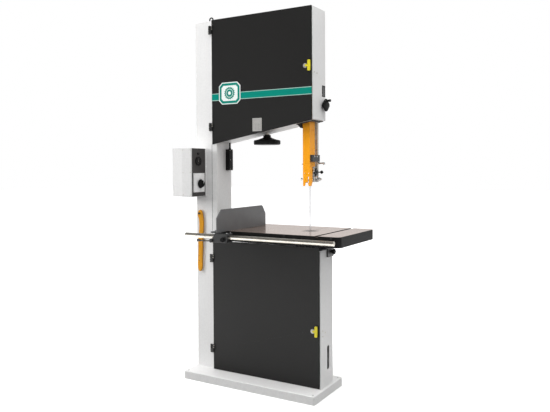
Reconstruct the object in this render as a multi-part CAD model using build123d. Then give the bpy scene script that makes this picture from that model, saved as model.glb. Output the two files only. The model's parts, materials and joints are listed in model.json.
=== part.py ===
from build123d import *
import os
from math import cos, pi, radians, sin

# Vertical band saw. Millimetres, +Z up, operator side towards -Y.
# Origin: centre of the plinth's underside, on the floor.

# Driving dimensions: plinth and frame
BASE_W, BASE_D, BASE_H = 934, 386, 50
SHEET = 5
DOOR_FRONT = -76
DOOR_SKIN = 3
FRAME_FRONT = DOOR_FRONT + DOOR_SKIN
FRAME_BACK = 94
FRAME_TOP = 2287
SEAM_X = -320
THROAT_X = -282
COLUMN_LEFT = -462
COLUMN_LEFT_FRONT = -51
UPPER_RIGHT = 406
LOWER_RIGHT = 449
CABINET_TOP = 862
DOOR_LEFT = -316
UPPER_DOOR_LEFT_Z = 1497
UPPER_DOOR_RIGHT_Z = 1625
UPPER_DOOR_RIGHT = 400
LOWER_DOOR_RIGHT = 443
LOWER_DOOR_BOTTOM = 53
LOWER_DOOR_TOP = 880

# Driving dimensions: wheels and blade
WHEEL_X = 22
WHEEL_R = 320
WHEEL_FRONT, WHEEL_BACK = -10, 26
UPPER_WHEEL_Z = 1922
LOWER_WHEEL_Z = 467
TYRE = 4
BLADE_GAP = 0.4
BLADE_T = 0.8
BLADE_FRONT, BLADE_BACK = -4.5, 20.5
AXLE_R = 15
SHAFT_R = 20
BLADE_X = WHEEL_X + WHEEL_R + BLADE_GAP + BLADE_T / 2

# Driving dimensions: drive
PULLEY_R = 100
MOTOR_PULLEY_R = 45
MOTOR_X, MOTOR_Z = -38, 237
BELT_FRONT, BELT_BACK = 39, 57

# Driving dimensions: guide post, guard and guides
POST_X0, POST_X1 = 336, 362
POST_Y0, POST_Y1 = 71, 87
GUARD_X0, GUARD_X1 = 308, 354
GUARD_Y0, GUARD_Y1 = -15, 52
GUARD_Z0, GUARD_Z1 = 1236, 1850
GUARD_T = 2.5
ROLLER_Z = 1330
PINION_Y, PINION_Z = 60, 1719
PINION_SHAFT_R = 4.5

# Driving dimensions: table and fence
TABLE_Z = 966
TABLE_X0, TABLE_X1 = -190, 642
TABLE_Y0, TABLE_Y1 = -225, 283
TABLE_EDGE = 60
TABLE_PLATE = 16
RIB_DEPTH = 35
SLOT_X, SLOT_W, SLOT_D = 498.7, 20, 9
INSERT_SIZE, INSERT_T = 86, 5
INSERT_Y = 13
TRUNNION_R = 90
RAIL_Y, RAIL_Z, RAIL_R = -270, 935, 14
RAIL_X0, RAIL_X1 = -379, 629
FENCE_FACE_X = -88
FENCE_T = 8
FENCE_H = 135

CLEAR = 0.3
RUN = 0.05


def block(x0, x1, y0, y1, z0, z1):
    """Box between two corners."""
    centre = Pos((x0 + x1) / 2, (y0 + y1) / 2, (z0 + z1) / 2)
    return centre * Box(x1 - x0, y1 - y0, z1 - z0)


def rod_x(x0, x1, y, z, r):
    return Pos((x0 + x1) / 2, y, z) * Rot(0, 90, 0) * Cylinder(r, x1 - x0)


def rod_y(y0, y1, x, z, r):
    return Pos(x, (y0 + y1) / 2, z) * Rot(90, 0, 0) * Cylinder(r, y1 - y0)


def rod_z(z0, z1, x, y, r):
    return Pos(x, y, (z0 + z1) / 2) * Cylinder(r, z1 - z0)


def face_of(points):
    """Flat face from an outline, always facing its plane's normal."""
    ring = zip(points, points[1:] + points[:1])
    area = sum(a[0] * b[1] - b[0] * a[1] for a, b in ring)
    ordered = points if area > 0 else points[::-1]
    return Polygon(*ordered, align=None)


def prism_z(points, z0, z1):
    """Outline in X and Y, raised from z0 to z1."""
    return Pos(0, 0, z0) * extrude(face_of(points), z1 - z0)


def prism_y(points, y0, y1):
    """Outline in X and Z, running from y0 to y1."""
    return Pos(0, y1, 0) * extrude(Plane.XZ * face_of(points), y1 - y0)


def prism_x(points, x0, x1):
    """Outline in Y and Z, running from x0 to x1."""
    return Pos(x0, 0, 0) * extrude(Plane.YZ * face_of(points), x1 - x0)


def turned_z(profile, x, y):
    """Solid of revolution about a vertical axis; profile holds (radius, z) points."""
    return Pos(x, y, 0) * revolve(Plane.XZ * face_of(profile), Axis.Z)


def turned_y(profile, x, z):
    """Solid of revolution about an axis along Y; profile holds (radius, y) points."""
    face = face_of(profile)
    return Pos(x, 0, z) * revolve(face, Axis.Y)


def turned_x(profile, y, z):
    """Solid of revolution about an axis along X; profile holds (x, radius) points."""
    face = face_of(profile)
    return Pos(0, y, z) * revolve(face, Axis.X)


def group(shapes):
    """Separate solids kept together in one node."""
    return Compound(children=[solid for shape in shapes for solid in shape.solids()])


def save(name, shape):
    export_step(shape, f"parts/{name}.step")


def slant_z(x):
    """Height of the upper door's slanted bottom edge at x."""
    rise = UPPER_DOOR_RIGHT_Z - UPPER_DOOR_LEFT_Z
    return UPPER_DOOR_LEFT_Z + (x - DOOR_LEFT) * rise / (UPPER_DOOR_RIGHT - DOOR_LEFT)


def column_front(x):
    """Y of the column's slanted front face at x, left of the seam."""
    run = (SEAM_X - x) / (SEAM_X - COLUMN_LEFT)
    return FRAME_FRONT + run * (COLUMN_LEFT_FRONT - FRAME_FRONT)


# ---------------------------------------------------------------- plinth and frame

PLINTH_WALL = 6
PLINTH_TOP = 8
PLINTH_RIB = 12
PLINTH_RIB_X = (-155, 155)
FLOOR_HOLE_R = 7
FLOOR_HOLE_INSET_X, FLOOR_HOLE_INSET_Y = 22, 24
PAD = 46


def base_plate():
    """Ribbed plinth, open underneath, with a floor bolt hole through a solid pad at each corner."""
    hx, hy = BASE_W / 2, BASE_D / 2
    outer = block(-hx, hx, -hy, hy, 0, BASE_H)
    outer = fillet(outer.edges().filter_by(Axis.Z), 12)
    outer = fillet(outer.faces().sort_by(Axis.Z)[-1].edges(), 4)
    inner_x, inner_y = hx - PLINTH_WALL, hy - PLINTH_WALL
    hollow = block(-inner_x, inner_x, -inner_y, inner_y, -1, BASE_H - PLINTH_TOP)
    for x in PLINTH_RIB_X:
        hollow -= block(x - PLINTH_RIB / 2, x + PLINTH_RIB / 2, -hy, hy, -1, BASE_H)
    for sx in (-1, 1):
        for sy in (-1, 1):
            hollow -= Pos(sx * (hx - PAD / 2), sy * (hy - PAD / 2), 0) * Box(PAD, PAD, 3 * BASE_H)
    plinth = outer - hollow
    for sx in (-1, 1):
        for sy in (-1, 1):
            x = sx * (hx - FLOOR_HOLE_INSET_X)
            y = sy * (hy - FLOOR_HOLE_INSET_Y)
            plinth -= rod_z(-1, BASE_H + 1, x, y, FLOOR_HOLE_R)
    return plinth


WHEEL_BAY_LEFT = -308


def column():
    """Bent-sheet column: flat strip beside the doors, slanted front, hollow inside."""
    outline = [
        (THROAT_X, FRAME_FRONT),
        (SEAM_X, FRAME_FRONT),
        (COLUMN_LEFT, COLUMN_LEFT_FRONT),
        (COLUMN_LEFT, FRAME_BACK - 6),
        (THROAT_X, FRAME_BACK - 6),
    ]
    inner = [
        (THROAT_X - SHEET, FRAME_FRONT + SHEET),
        (SEAM_X, FRAME_FRONT + SHEET),
        (COLUMN_LEFT + SHEET, COLUMN_LEFT_FRONT + SHEET),
        (COLUMN_LEFT + SHEET, FRAME_BACK - 6 - SHEET),
        (THROAT_X - SHEET, FRAME_BACK - 6 - SHEET),
    ]
    shell = prism_z(outline, BASE_H, FRAME_TOP) - prism_z(inner, BASE_H - 1, FRAME_TOP - SHEET)
    bays = (
        (BASE_H + SHEET, CABINET_TOP - SHEET),
        (slant_z(THROAT_X) + 2 * SHEET, FRAME_TOP - SHEET),
    )
    for z0, z1 in bays:
        shell -= block(WHEEL_BAY_LEFT, THROAT_X + 1, FRAME_FRONT - 1, FRAME_BACK - 6 - SHEET, z0, z1)
    return shell


def underside(x, lift):
    return (x, slant_z(x) + lift)


GUARD_HOLE = (298, 373, -26, FRAME_BACK - SHEET)
TENSION_HOLE_R = 12
TENSION_Y = 45
WINDOW_Y0, WINDOW_Y1, WINDOW_Z0, WINDOW_Z1 = 50, 84, 1774, 1834


def upper_housing():
    """Upper wheel housing: open front, slanted underside, holes for guard and tension screw."""
    lift = 3
    outer = [
        (THROAT_X, FRAME_TOP),
        (UPPER_RIGHT, FRAME_TOP),
        underside(UPPER_RIGHT, lift),
        underside(THROAT_X, lift),
    ]
    inner = [
        (THROAT_X - 1, FRAME_TOP - SHEET),
        (UPPER_RIGHT - SHEET, FRAME_TOP - SHEET),
        underside(UPPER_RIGHT - SHEET, lift + SHEET),
        underside(THROAT_X - 1, lift + SHEET),
    ]
    shell = prism_y(outer, FRAME_FRONT, FRAME_BACK)
    shell -= prism_y(inner, FRAME_FRONT - 1, FRAME_BACK - SHEET)
    x0, x1, y0, y1 = GUARD_HOLE
    shell -= block(x0, x1, y0, y1, slant_z(x0) - 10, slant_z(x1) + 20)
    shell -= rod_z(1500, 1600, WHEEL_X, TENSION_Y, TENSION_HOLE_R)
    shell += rod_x(UPPER_RIGHT - 20, UPPER_RIGHT - 1, PINION_Y, PINION_Z, 14)
    shell -= rod_x(UPPER_RIGHT - 21, UPPER_RIGHT + 1, PINION_Y, PINION_Z, PINION_SHAFT_R + RUN)
    shell -= block(UPPER_RIGHT - SHEET - 1, UPPER_RIGHT + 1, WINDOW_Y0, WINDOW_Y1, WINDOW_Z0, WINDOW_Z1)
    return shell


BLADE_HOLE = (300, 384, -26, 62)
SIDE_SLOT_Y0, SIDE_SLOT_Y1, SIDE_SLOT_Z0, SIDE_SLOT_Z1 = 16, 44, 145, 285
BEARING_R = 52


def lower_housing():
    """Lower wheel housing: open front, blade opening in its top, slot in its right wall."""
    shell = block(THROAT_X, LOWER_RIGHT, FRAME_FRONT, FRAME_BACK, BASE_H, CABINET_TOP)
    shell -= block(
        THROAT_X - 1,
        LOWER_RIGHT - SHEET,
        FRAME_FRONT - 1,
        FRAME_BACK - SHEET,
        BASE_H + SHEET,
        CABINET_TOP - SHEET,
    )
    x0, x1, y0, y1 = BLADE_HOLE
    shell -= block(x0, x1, y0, y1, CABINET_TOP - 10, CABINET_TOP + 1)
    shell -= rod_y(FRAME_BACK - 10, FRAME_BACK + 1, WHEEL_X, LOWER_WHEEL_Z, BEARING_R)
    shell -= rod_y(FRAME_BACK - 10, FRAME_BACK + 1, MOTOR_X, MOTOR_Z, 30)
    slot_mid_y = (SIDE_SLOT_Y0 + SIDE_SLOT_Y1) / 2
    slot_mid_z = (SIDE_SLOT_Z0 + SIDE_SLOT_Z1) / 2
    slot = Box(20, SIDE_SLOT_Y1 - SIDE_SLOT_Y0, SIDE_SLOT_Z1 - SIDE_SLOT_Z0)
    slot = fillet(slot.edges().filter_by(Axis.X), 8)
    return shell - Pos(LOWER_RIGHT, slot_mid_y, slot_mid_z) * slot


def lifting_eye():
    """Lifting eye: threaded collar with an upright ring."""
    x, y, collar_top = -371, 0, FRAME_TOP + 10
    collar = rod_z(FRAME_TOP, collar_top, x, y, 14)
    ring = Pos(x, y, collar_top + 15) * Rot(90, 0, 0) * Torus(13, 4.5)
    return collar + ring


HINGE_X = -327
HINGE_Y = -83
HINGE_H = 50
KNUCKLE_R = 5.5
HINGE_PIN_R = 3
UPPER_HINGE_Z = (2201, 1583)
LOWER_HINGE_Z = (742, 161)


def hinge_leaf(z):
    """Fixed leaf, lower knuckle and pin of one door hinge, on the column's slanted front."""
    left, right = HINGE_X - 12, HINGE_X + 3
    clear_of_knuckle = HINGE_X - KNUCKLE_R - 1
    leaf_front = HINGE_Y + 3
    leaf_outline = [
        (left, column_front(left)), (right, column_front(right)),
        (right, leaf_front), (left, leaf_front),
    ]
    side_outline = [
        (left, column_front(left)), (clear_of_knuckle, column_front(clear_of_knuckle)),
        (clear_of_knuckle, leaf_front), (left, leaf_front),
    ]
    leaf = prism_z(leaf_outline, z, z + HINGE_H / 2)
    leaf += prism_z(side_outline, z, z + HINGE_H)
    knuckle = rod_z(z, z + HINGE_H / 2, HINGE_X, HINGE_Y, KNUCKLE_R)
    pin = rod_z(z, z + HINGE_H + 2, HINGE_X, HINGE_Y, HINGE_PIN_R)
    return leaf + knuckle + pin


def door_knuckle(z):
    """Moving leaf and upper knuckle of one door hinge, screwed to the door skin."""
    z0, z1 = z + HINGE_H / 2 + CLEAR, z + HINGE_H
    knuckle = rod_z(z0, z1, HINGE_X, HINGE_Y, KNUCKLE_R)
    leaf = block(HINGE_X, DOOR_LEFT + 10, HINGE_Y + 1, DOOR_FRONT, z0, z1)
    bore = rod_z(z0 - 1, z1 + 1, HINGE_X, HINGE_Y, HINGE_PIN_R + RUN)
    return knuckle + leaf - bore


# ---------------------------------------------------------------- doors

PAN_INSET = 9
PAN_DEPTH = 18
PAN_T = 3


def upper_door():
    """Upper door: flat skin with a folded pan behind it."""
    skin_outline = [
        (DOOR_LEFT, slant_z(DOOR_LEFT)),
        (UPPER_DOOR_RIGHT, slant_z(UPPER_DOOR_RIGHT)),
        (UPPER_DOOR_RIGHT, FRAME_TOP + 3),
        (DOOR_LEFT, FRAME_TOP + 3),
    ]
    left, right = WHEEL_BAY_LEFT + 4, UPPER_DOOR_RIGHT - PAN_INSET
    top, lift = FRAME_TOP - SHEET - 4, 3 + SHEET + 8
    pan = [underside(left, lift), underside(right, lift), (right, top), (left, top)]
    cavity = [
        underside(left + PAN_T, lift + PAN_T),
        underside(right - PAN_T, lift + PAN_T),
        (right - PAN_T, top - PAN_T),
        (left + PAN_T, top - PAN_T),
    ]
    door = prism_y(skin_outline, DOOR_FRONT, FRAME_FRONT)
    door += prism_y(pan, FRAME_FRONT, FRAME_FRONT + PAN_DEPTH)
    door -= prism_y(cavity, FRAME_FRONT, FRAME_FRONT + PAN_DEPTH + 1)
    door -= rod_y(DOOR_FRONT - 1, FRAME_FRONT + 1, UPPER_LOCK_X, UPPER_LOCK_Z, LATCH_SHAFT_R + CLEAR)
    for z in UPPER_HINGE_Z:
        door += door_knuckle(z)
    return door


def lower_door():
    """Lower door: flat skin with a folded pan behind it."""
    door = block(DOOR_LEFT, LOWER_DOOR_RIGHT, DOOR_FRONT, FRAME_FRONT, LOWER_DOOR_BOTTOM, LOWER_DOOR_TOP)
    left, right = WHEEL_BAY_LEFT + 4, LOWER_DOOR_RIGHT - PAN_INSET
    bottom, top = BASE_H + SHEET + 4, CABINET_TOP - SHEET - 4
    back = FRAME_FRONT + PAN_DEPTH
    door += block(left, right, FRAME_FRONT, back, bottom, top)
    door -= block(left + PAN_T, right - PAN_T, FRAME_FRONT, back + 1, bottom + PAN_T, top - PAN_T)
    door -= rod_y(DOOR_FRONT - 1, FRAME_FRONT + 1, LOWER_LOCK_X, LOWER_LOCK_Z, LATCH_SHAFT_R + CLEAR)
    for z in LOWER_HINGE_Z:
        door += door_knuckle(z)
    return door


STRIPE_T = 0.6
STRIPE_Z0, STRIPE_Z1 = 1774, 1819
EMBLEM_X0, EMBLEM_X1, EMBLEM_Z0, EMBLEM_Z1 = -259, -96, 1747, 1885
EMBLEM_CUT = 24


def door_stripe():
    """Thin coloured band across the upper door."""
    return block(DOOR_LEFT, UPPER_DOOR_RIGHT, DOOR_FRONT - STRIPE_T, DOOR_FRONT, STRIPE_Z0, STRIPE_Z1)


def door_emblem():
    """Blank octagonal badge over the band."""
    x0, x1, z0, z1, c = EMBLEM_X0, EMBLEM_X1, EMBLEM_Z0, EMBLEM_Z1, EMBLEM_CUT
    outline = [
        (x0 + c, z0), (x1 - c, z0), (x1, z0 + c), (x1, z1 - c),
        (x1 - c, z1), (x0 + c, z1), (x0, z1 - c), (x0, z0 + c),
    ]
    return prism_y(outline, DOOR_FRONT - STRIPE_T - 1, DOOR_FRONT - STRIPE_T)


def rating_plate():
    """Blank metal plate low on the upper door."""
    return block(-9, 57, DOOR_FRONT - 1, DOOR_FRONT, 1571, 1651)


LATCH_SHAFT_R = 8
UPPER_LOCK_X, UPPER_LOCK_Z = 359, 1942
LOWER_LOCK_X, LOWER_LOCK_Z = 401, 389
LATCH_BAR_OUT = 27
LATCH_BAR_W, LATCH_BAR_H = 17, 63


def door_latch(x, z, bar_out):
    """Bar handle, round boss, shaft through the door and tongue behind it."""
    front = DOOR_FRONT - CLEAR
    boss = rod_y(front - 5, front, x, z, 12)
    shaft = rod_y(front, FRAME_FRONT + 14, x, z, LATCH_SHAFT_R)
    arm = block(x, x + bar_out, front - 8, front - 3, z - 6, z + 6)
    bar = Pos(x + bar_out, front - 8, z) * Box(LATCH_BAR_W, 8, LATCH_BAR_H)
    bar = fillet(bar.edges().filter_by(Axis.Y), 5)
    tongue_back = FRAME_FRONT + 14
    tongue = block(x - 9, x + 21, tongue_back - 5, tongue_back, z - 9, z + 9)
    return boss + shaft + arm + bar + tongue


# ---------------------------------------------------------------- wheels, blade and drive

RIM_T = 18
HUB_R = 52
SPOKES = 6
BEARING_SEAT_R = 34


def wheel_casting(z, bore_r):
    """Spoked cast wheel without its tyre."""
    rim_r = WHEEL_R - TYRE
    wheel = rod_y(WHEEL_FRONT, WHEEL_BACK, WHEEL_X, z, rim_r)
    wheel -= rod_y(WHEEL_FRONT - 1, WHEEL_BACK + 1, WHEEL_X, z, rim_r - RIM_T)
    wheel += rod_y(WHEEL_FRONT, WHEEL_BACK + 3, WHEEL_X, z, HUB_R)
    mid = (WHEEL_FRONT + WHEEL_BACK) / 2
    spoke = Box(rim_r - RIM_T - HUB_R + 8, 12, 34)
    spoke_mid = (rim_r - RIM_T + HUB_R) / 2
    for index in range(SPOKES):
        turn = Rot(0, 360 / SPOKES * index + 30, 0)
        wheel += Pos(WHEEL_X, mid, z) * turn * Pos(spoke_mid, 0, 0) * spoke
    return wheel - rod_y(WHEEL_FRONT - 1, WHEEL_BACK + 4, WHEEL_X, z, bore_r)


def tyre(z):
    outer = rod_y(WHEEL_FRONT, WHEEL_BACK, WHEEL_X, z, WHEEL_R)
    return outer - rod_y(WHEEL_FRONT - 1, WHEEL_BACK + 1, WHEEL_X, z, WHEEL_R - TYRE)


def wheel_bearings():
    """Two ball bearings pressed in the upper wheel's hub, drawn as plain rings."""
    rings = []
    for y0, y1 in ((WHEEL_FRONT, WHEEL_FRONT + 14), (WHEEL_BACK - 11, WHEEL_BACK + 3)):
        ring = rod_y(y0, y1, WHEEL_X, UPPER_WHEEL_Z, BEARING_SEAT_R)
        rings.append(ring - rod_y(y0 - 1, y1 + 1, WHEEL_X, UPPER_WHEEL_Z, AXLE_R + RUN))
    return group(rings)


def loop_band(centre_a, radius_a, centre_b, radius_b, thickness, y0, y1):
    """Endless band round two circles in the XZ plane, inner radii given."""
    def hull(extra):
        circles = Pos(*centre_a) * Circle(radius_a + extra) + Pos(*centre_b) * Circle(radius_b + extra)
        return make_hull(circles.edges())
    ring = Plane.XZ * (hull(thickness) - hull(0))
    return Pos(0, y1, 0) * extrude(ring, y1 - y0)


def saw_blade():
    """Endless blade, a running gap off both tyres; its teeth are not modelled."""
    inner = WHEEL_R + BLADE_GAP
    outer = inner + BLADE_T
    band = block(WHEEL_X - outer, WHEEL_X + outer, BLADE_FRONT, BLADE_BACK, LOWER_WHEEL_Z, UPPER_WHEEL_Z)
    band += rod_y(BLADE_FRONT, BLADE_BACK, WHEEL_X, UPPER_WHEEL_Z, outer)
    band += rod_y(BLADE_FRONT, BLADE_BACK, WHEEL_X, LOWER_WHEEL_Z, outer)
    y0, y1 = BLADE_FRONT - 1, BLADE_BACK + 1
    band -= block(WHEEL_X - inner, WHEEL_X + inner, y0, y1, LOWER_WHEEL_Z, UPPER_WHEEL_Z)
    band -= rod_y(y0, y1, WHEEL_X, UPPER_WHEEL_Z, inner)
    return band - rod_y(y0, y1, WHEEL_X, LOWER_WHEEL_Z, inner)


SHAFT_FRONT, SHAFT_BACK = -16, 146


def lower_shaft():
    shaft = rod_y(SHAFT_FRONT, SHAFT_BACK, WHEEL_X, LOWER_WHEEL_Z, SHAFT_R)
    collar = rod_y(SHAFT_FRONT - 6, SHAFT_FRONT, WHEEL_X, LOWER_WHEEL_Z, SHAFT_R + 10)
    return shaft + collar


def pulley(x, z, r, bore_r):
    """Flat belt pulley with a hub flange each side of the belt."""
    y0, y1 = BELT_FRONT - 5, BELT_BACK + 5
    lip = r + 4
    profile = [
        (bore_r, y0), (lip, y0), (lip, y0 + 4), (r, y0 + 4.6),
        (r, y1 - 4.6), (lip, y1 - 4), (lip, y1), (bore_r, y1),
    ]
    return turned_y(profile, x, z)


def lower_bearing():
    """Flanged bearing housing of the lower shaft, through the cabinet's back wall."""
    tube = rod_y(FRAME_BACK - SHEET - 18, FRAME_BACK + 44, WHEEL_X, LOWER_WHEEL_Z, BEARING_R)
    flange = rod_y(FRAME_BACK, FRAME_BACK + 12, WHEEL_X, LOWER_WHEEL_Z, BEARING_R + 28)
    bore = rod_y(FRAME_BACK - 40, FRAME_BACK + 50, WHEEL_X, LOWER_WHEEL_Z, SHAFT_R + RUN)
    return tube + flange - bore


def drive_belt():
    """Flat belt from the motor pulley to the lower wheel's pulley."""
    gap, thickness = 0.4, 5
    return loop_band(
        (WHEEL_X, LOWER_WHEEL_Z), PULLEY_R + gap, (MOTOR_X, MOTOR_Z), MOTOR_PULLEY_R + gap,
        thickness, BELT_FRONT, BELT_BACK,
    )


MOTOR_R = 92
MOTOR_PLATE_T = 10
MOTOR_BODY_Y0 = FRAME_BACK + MOTOR_PLATE_T
MOTOR_BODY_Y1 = 384
MOTOR_SHAFT_R = 14


def motor_plate():
    """Square plate bolted to the cabinet's back, carrying the motor."""
    size = 236
    plate = Pos(MOTOR_X, FRAME_BACK + MOTOR_PLATE_T / 2, MOTOR_Z) * Box(size, MOTOR_PLATE_T, size)
    plate -= rod_y(FRAME_BACK - 1, MOTOR_BODY_Y0 + 1, MOTOR_X, MOTOR_Z, 30)
    return plate - rod_y(FRAME_BACK - 1, FRAME_BACK + 13, WHEEL_X, LOWER_WHEEL_Z, BEARING_R + 30)


def motor():
    """Flange motor: finned barrel, fan cowl and terminal box."""
    body = rod_y(MOTOR_BODY_Y0, MOTOR_BODY_Y1, MOTOR_X, MOTOR_Z, MOTOR_R - 9)
    body += rod_y(MOTOR_BODY_Y0, MOTOR_BODY_Y0 + 16, MOTOR_X, MOTOR_Z, MOTOR_R + 10)
    body += rod_y(MOTOR_BODY_Y1 - 62, MOTOR_BODY_Y1, MOTOR_X, MOTOR_Z, MOTOR_R)
    fin = Box(2 * MOTOR_R - 2, MOTOR_BODY_Y1 - MOTOR_BODY_Y0 - 90, 3)
    fin_y = (MOTOR_BODY_Y0 + MOTOR_BODY_Y1) / 2 - 20
    for index in range(12):
        body += Pos(MOTOR_X, fin_y, MOTOR_Z) * Rot(0, 15 * index, 0) * fin
    body += block(MOTOR_X - 45, MOTOR_X + 45, 190, 280, MOTOR_Z + 70, MOTOR_Z + MOTOR_R + 34)
    return body - rod_y(MOTOR_BODY_Y0 - 1, MOTOR_BODY_Y0 + 40, MOTOR_X, MOTOR_Z, MOTOR_SHAFT_R + RUN)


def motor_pulley():
    """Motor shaft with its pulley."""
    shaft = rod_y(BELT_FRONT - 5, MOTOR_BODY_Y0 + 36, MOTOR_X, MOTOR_Z, MOTOR_SHAFT_R)
    return shaft + pulley(MOTOR_X, MOTOR_Z, MOTOR_PULLEY_R, MOTOR_SHAFT_R)


# ---------------------------------------------------------------- blade tension

CARRIAGE_X0, CARRIAGE_X1 = WHEEL_X - 70, WHEEL_X + 70
CARRIAGE_Y0, CARRIAGE_Y1 = 36, 62
CARRIAGE_Z0, CARRIAGE_Z1 = 1852, 1972
SCREW_R = 8
SCREW_TOP = 1880
SCREW_COLLAR_R = 14
TENSION_BLOCK_Z0, TENSION_BLOCK_Z1 = 1590, 1612
WHEEL_RIM_Z0, WHEEL_RIM_Z1 = 1491, 1519
NECK_TOP = WHEEL_RIM_Z1 + 36


def wheel_carriage():
    """Slide block that carries the upper axle; its lower end is the nut of the tension screw."""
    slide = block(CARRIAGE_X0, CARRIAGE_X1, CARRIAGE_Y0, CARRIAGE_Y1, CARRIAGE_Z0, CARRIAGE_Z1)
    slide -= rod_z(CARRIAGE_Z0 - 1, SCREW_TOP + 24, WHEEL_X, TENSION_Y, SCREW_R + RUN)
    return slide


def upper_axle():
    """Stub axle of the upper wheel, shouldered against the slide block, with its end washer."""
    axle = rod_y(-18, CARRIAGE_Y0, WHEEL_X, UPPER_WHEEL_Z, AXLE_R)
    shoulder = rod_y(WHEEL_BACK + 3 + CLEAR, CARRIAGE_Y0, WHEEL_X, UPPER_WHEEL_Z, AXLE_R + 7)
    washer = rod_y(-18, WHEEL_FRONT - CLEAR, WHEEL_X, UPPER_WHEEL_Z, AXLE_R + 9)
    return axle + shoulder + washer


def slide_rails():
    """Two L-shaped rails that guide the slide block on the housing's back wall."""
    rails = []
    for side in (-1, 1):
        inner = WHEEL_X + side * (70 + CLEAR)
        outer = WHEEL_X + side * 92
        lip = WHEEL_X + side * 58
        lo, hi = sorted((inner, outer))
        rail = block(lo, hi, CARRIAGE_Y0 - 6, FRAME_BACK - SHEET, 1800, 2040)
        lo, hi = sorted((lip, outer))
        rail += block(lo, hi, CARRIAGE_Y0 - 6, CARRIAGE_Y0 - CLEAR, 1800, 2040)
        lo, hi = sorted((lip, inner))
        rail += block(lo, hi, CARRIAGE_Y1 + CLEAR, FRAME_BACK - SHEET, 1800, 2040)
        rails.append(rail)
    return group(rails)


def tension_bearing():
    """Bracket on the housing's back wall that holds the tension screw against its two collars."""
    bracket = block(WHEEL_X - 30, WHEEL_X + 30, 29, FRAME_BACK - SHEET, TENSION_BLOCK_Z0, TENSION_BLOCK_Z1)
    return bracket - rod_z(TENSION_BLOCK_Z0 - 1, TENSION_BLOCK_Z1 + 1, WHEEL_X, TENSION_Y, SCREW_R + RUN)


def tension_screw():
    """Tension screw with a collar above and below its bracket."""
    below, above = TENSION_BLOCK_Z0 - CLEAR, TENSION_BLOCK_Z1 + CLEAR
    screw = rod_z(NECK_TOP, SCREW_TOP, WHEEL_X, TENSION_Y, SCREW_R)
    screw += rod_z(below - 8, below, WHEEL_X, TENSION_Y, SCREW_COLLAR_R)
    return screw + rod_z(above, above + 8, WHEEL_X, TENSION_Y, SCREW_COLLAR_R)


def tension_handwheel():
    """Dished handwheel under the upper housing."""
    z0, z1 = WHEEL_RIM_Z0, WHEEL_RIM_Z1
    profile = [
        (0, z0 + 18), (62, z0 + 8), (70, z0), (80, z0), (84, z0 + 5), (84, z1 - 5), (80, z1),
        (60, z1 + 4), (32, z1 + 14), (24, z1 + 19), (24, z1 + 31), (16, z1 + 33),
        (16, NECK_TOP), (0, NECK_TOP),
    ]
    return turned_z(profile, WHEEL_X, TENSION_Y)


# ---------------------------------------------------------------- guide post and guard

POST_Z0, POST_Z1 = 1330, 2040
RACK_PITCH = 5
RACK_Z0, RACK_Z1 = 1520, 1975
RACK_ROOT_Y, RACK_TIP_Y = POST_Y0 - 1.5, POST_Y0 - 3.5


def guide_post():
    return block(POST_X0, POST_X1, POST_Y0, POST_Y1, POST_Z0, POST_Z1)


def post_rack():
    """Toothed rack on the front of the guide post."""
    teeth = int((RACK_Z1 - RACK_Z0) / RACK_PITCH)
    outline = [(POST_Y0, RACK_Z0)]
    for index in range(teeth):
        z = RACK_Z0 + index * RACK_PITCH
        outline.append((RACK_ROOT_Y, z))
        outline.append((RACK_TIP_Y, z + 1.2))
        outline.append((RACK_TIP_Y, z + 2.6))
        outline.append((RACK_ROOT_Y, z + 3.8))
    outline.append((RACK_ROOT_Y, RACK_Z0 + teeth * RACK_PITCH))
    outline.append((POST_Y0, RACK_Z0 + teeth * RACK_PITCH))
    return prism_x(outline, POST_X0 + 6, POST_X1 - 6)


def post_socket():
    """Guide bracket on the housing's back wall that the post slides through."""
    z0, z1 = 1640, 1800
    gap = CLEAR
    bracket = block(POST_X0 - 18, POST_X1 + 18, POST_Y0 - 1, FRAME_BACK - SHEET, z0, z1)
    bracket -= block(POST_X0 - gap, POST_X1 + gap, POST_Y0 - 2, POST_Y1 + gap, z0 - 1, z1 + 1)
    for x0, x1 in ((POST_X0 - 18, POST_X0 + 5), (POST_X1 - 5, POST_X1 + 18)):
        bracket += block(x0, x1, POST_Y0 - 6, POST_Y0 - gap, z0, z0 + 30)
        bracket += block(x0, x1, POST_Y0 - 6, POST_Y0 - gap, z1 - 30, z1)
    return bracket


def blade_guard():
    """Angle-section guard in front and to the right of the blade, forked at its lower end."""
    inner_x, inner_y = GUARD_X1 - GUARD_T, GUARD_Y0 + GUARD_T
    angle = block(GUARD_X0, GUARD_X1, GUARD_Y0, GUARD_Y1, GUARD_Z0, GUARD_Z1)
    angle -= block(GUARD_X0 - 1, inner_x, inner_y, GUARD_Y1 + 1, GUARD_Z0 - 1, GUARD_Z1 + 1)
    fork_x, arch_top = BLADE_X - 10, GUARD_Z0 + 22
    notch = [
        (fork_x - 13, GUARD_Z0 - 1), (fork_x + 13, GUARD_Z0 - 1),
        (fork_x + 7, arch_top), (fork_x - 7, arch_top),
    ]
    angle -= prism_y(notch, GUARD_Y0 - 1, inner_y + 1)
    angle -= block(BLADE_X - 3, BLADE_X + 4, GUARD_Y0 - 1, inner_y + 1, arch_top - 2, GUARD_Z0 + 56)
    cut_y = BLADE_BACK - 1.5
    relief = block(GUARD_X1 - 10, GUARD_X1 + 10, cut_y, GUARD_Y1 + 40, GUARD_Z0 - 40, ROLLER_Z + 22)
    angle -= fillet(relief.edges().filter_by(Axis.X), 10)
    toe = [(cut_y + 1, GUARD_Z0 - 1), (cut_y + 1, GUARD_Z0 + 26), (cut_y - 12, GUARD_Z0 - 1)]
    angle -= prism_x(toe, GUARD_X1 - 10, GUARD_X1 + 1)
    for x in (GUARD_X0 + 9, GUARD_X1 - 10):
        angle -= rod_y(GUARD_Y0 - 1, GUARD_Y0 + 4, x, GUARD_Z0 + 76, 2.5)
    return angle


CLAMP_Z0, CLAMP_Z1 = 1381, 1422
CLAMP_X1 = 370


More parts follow.
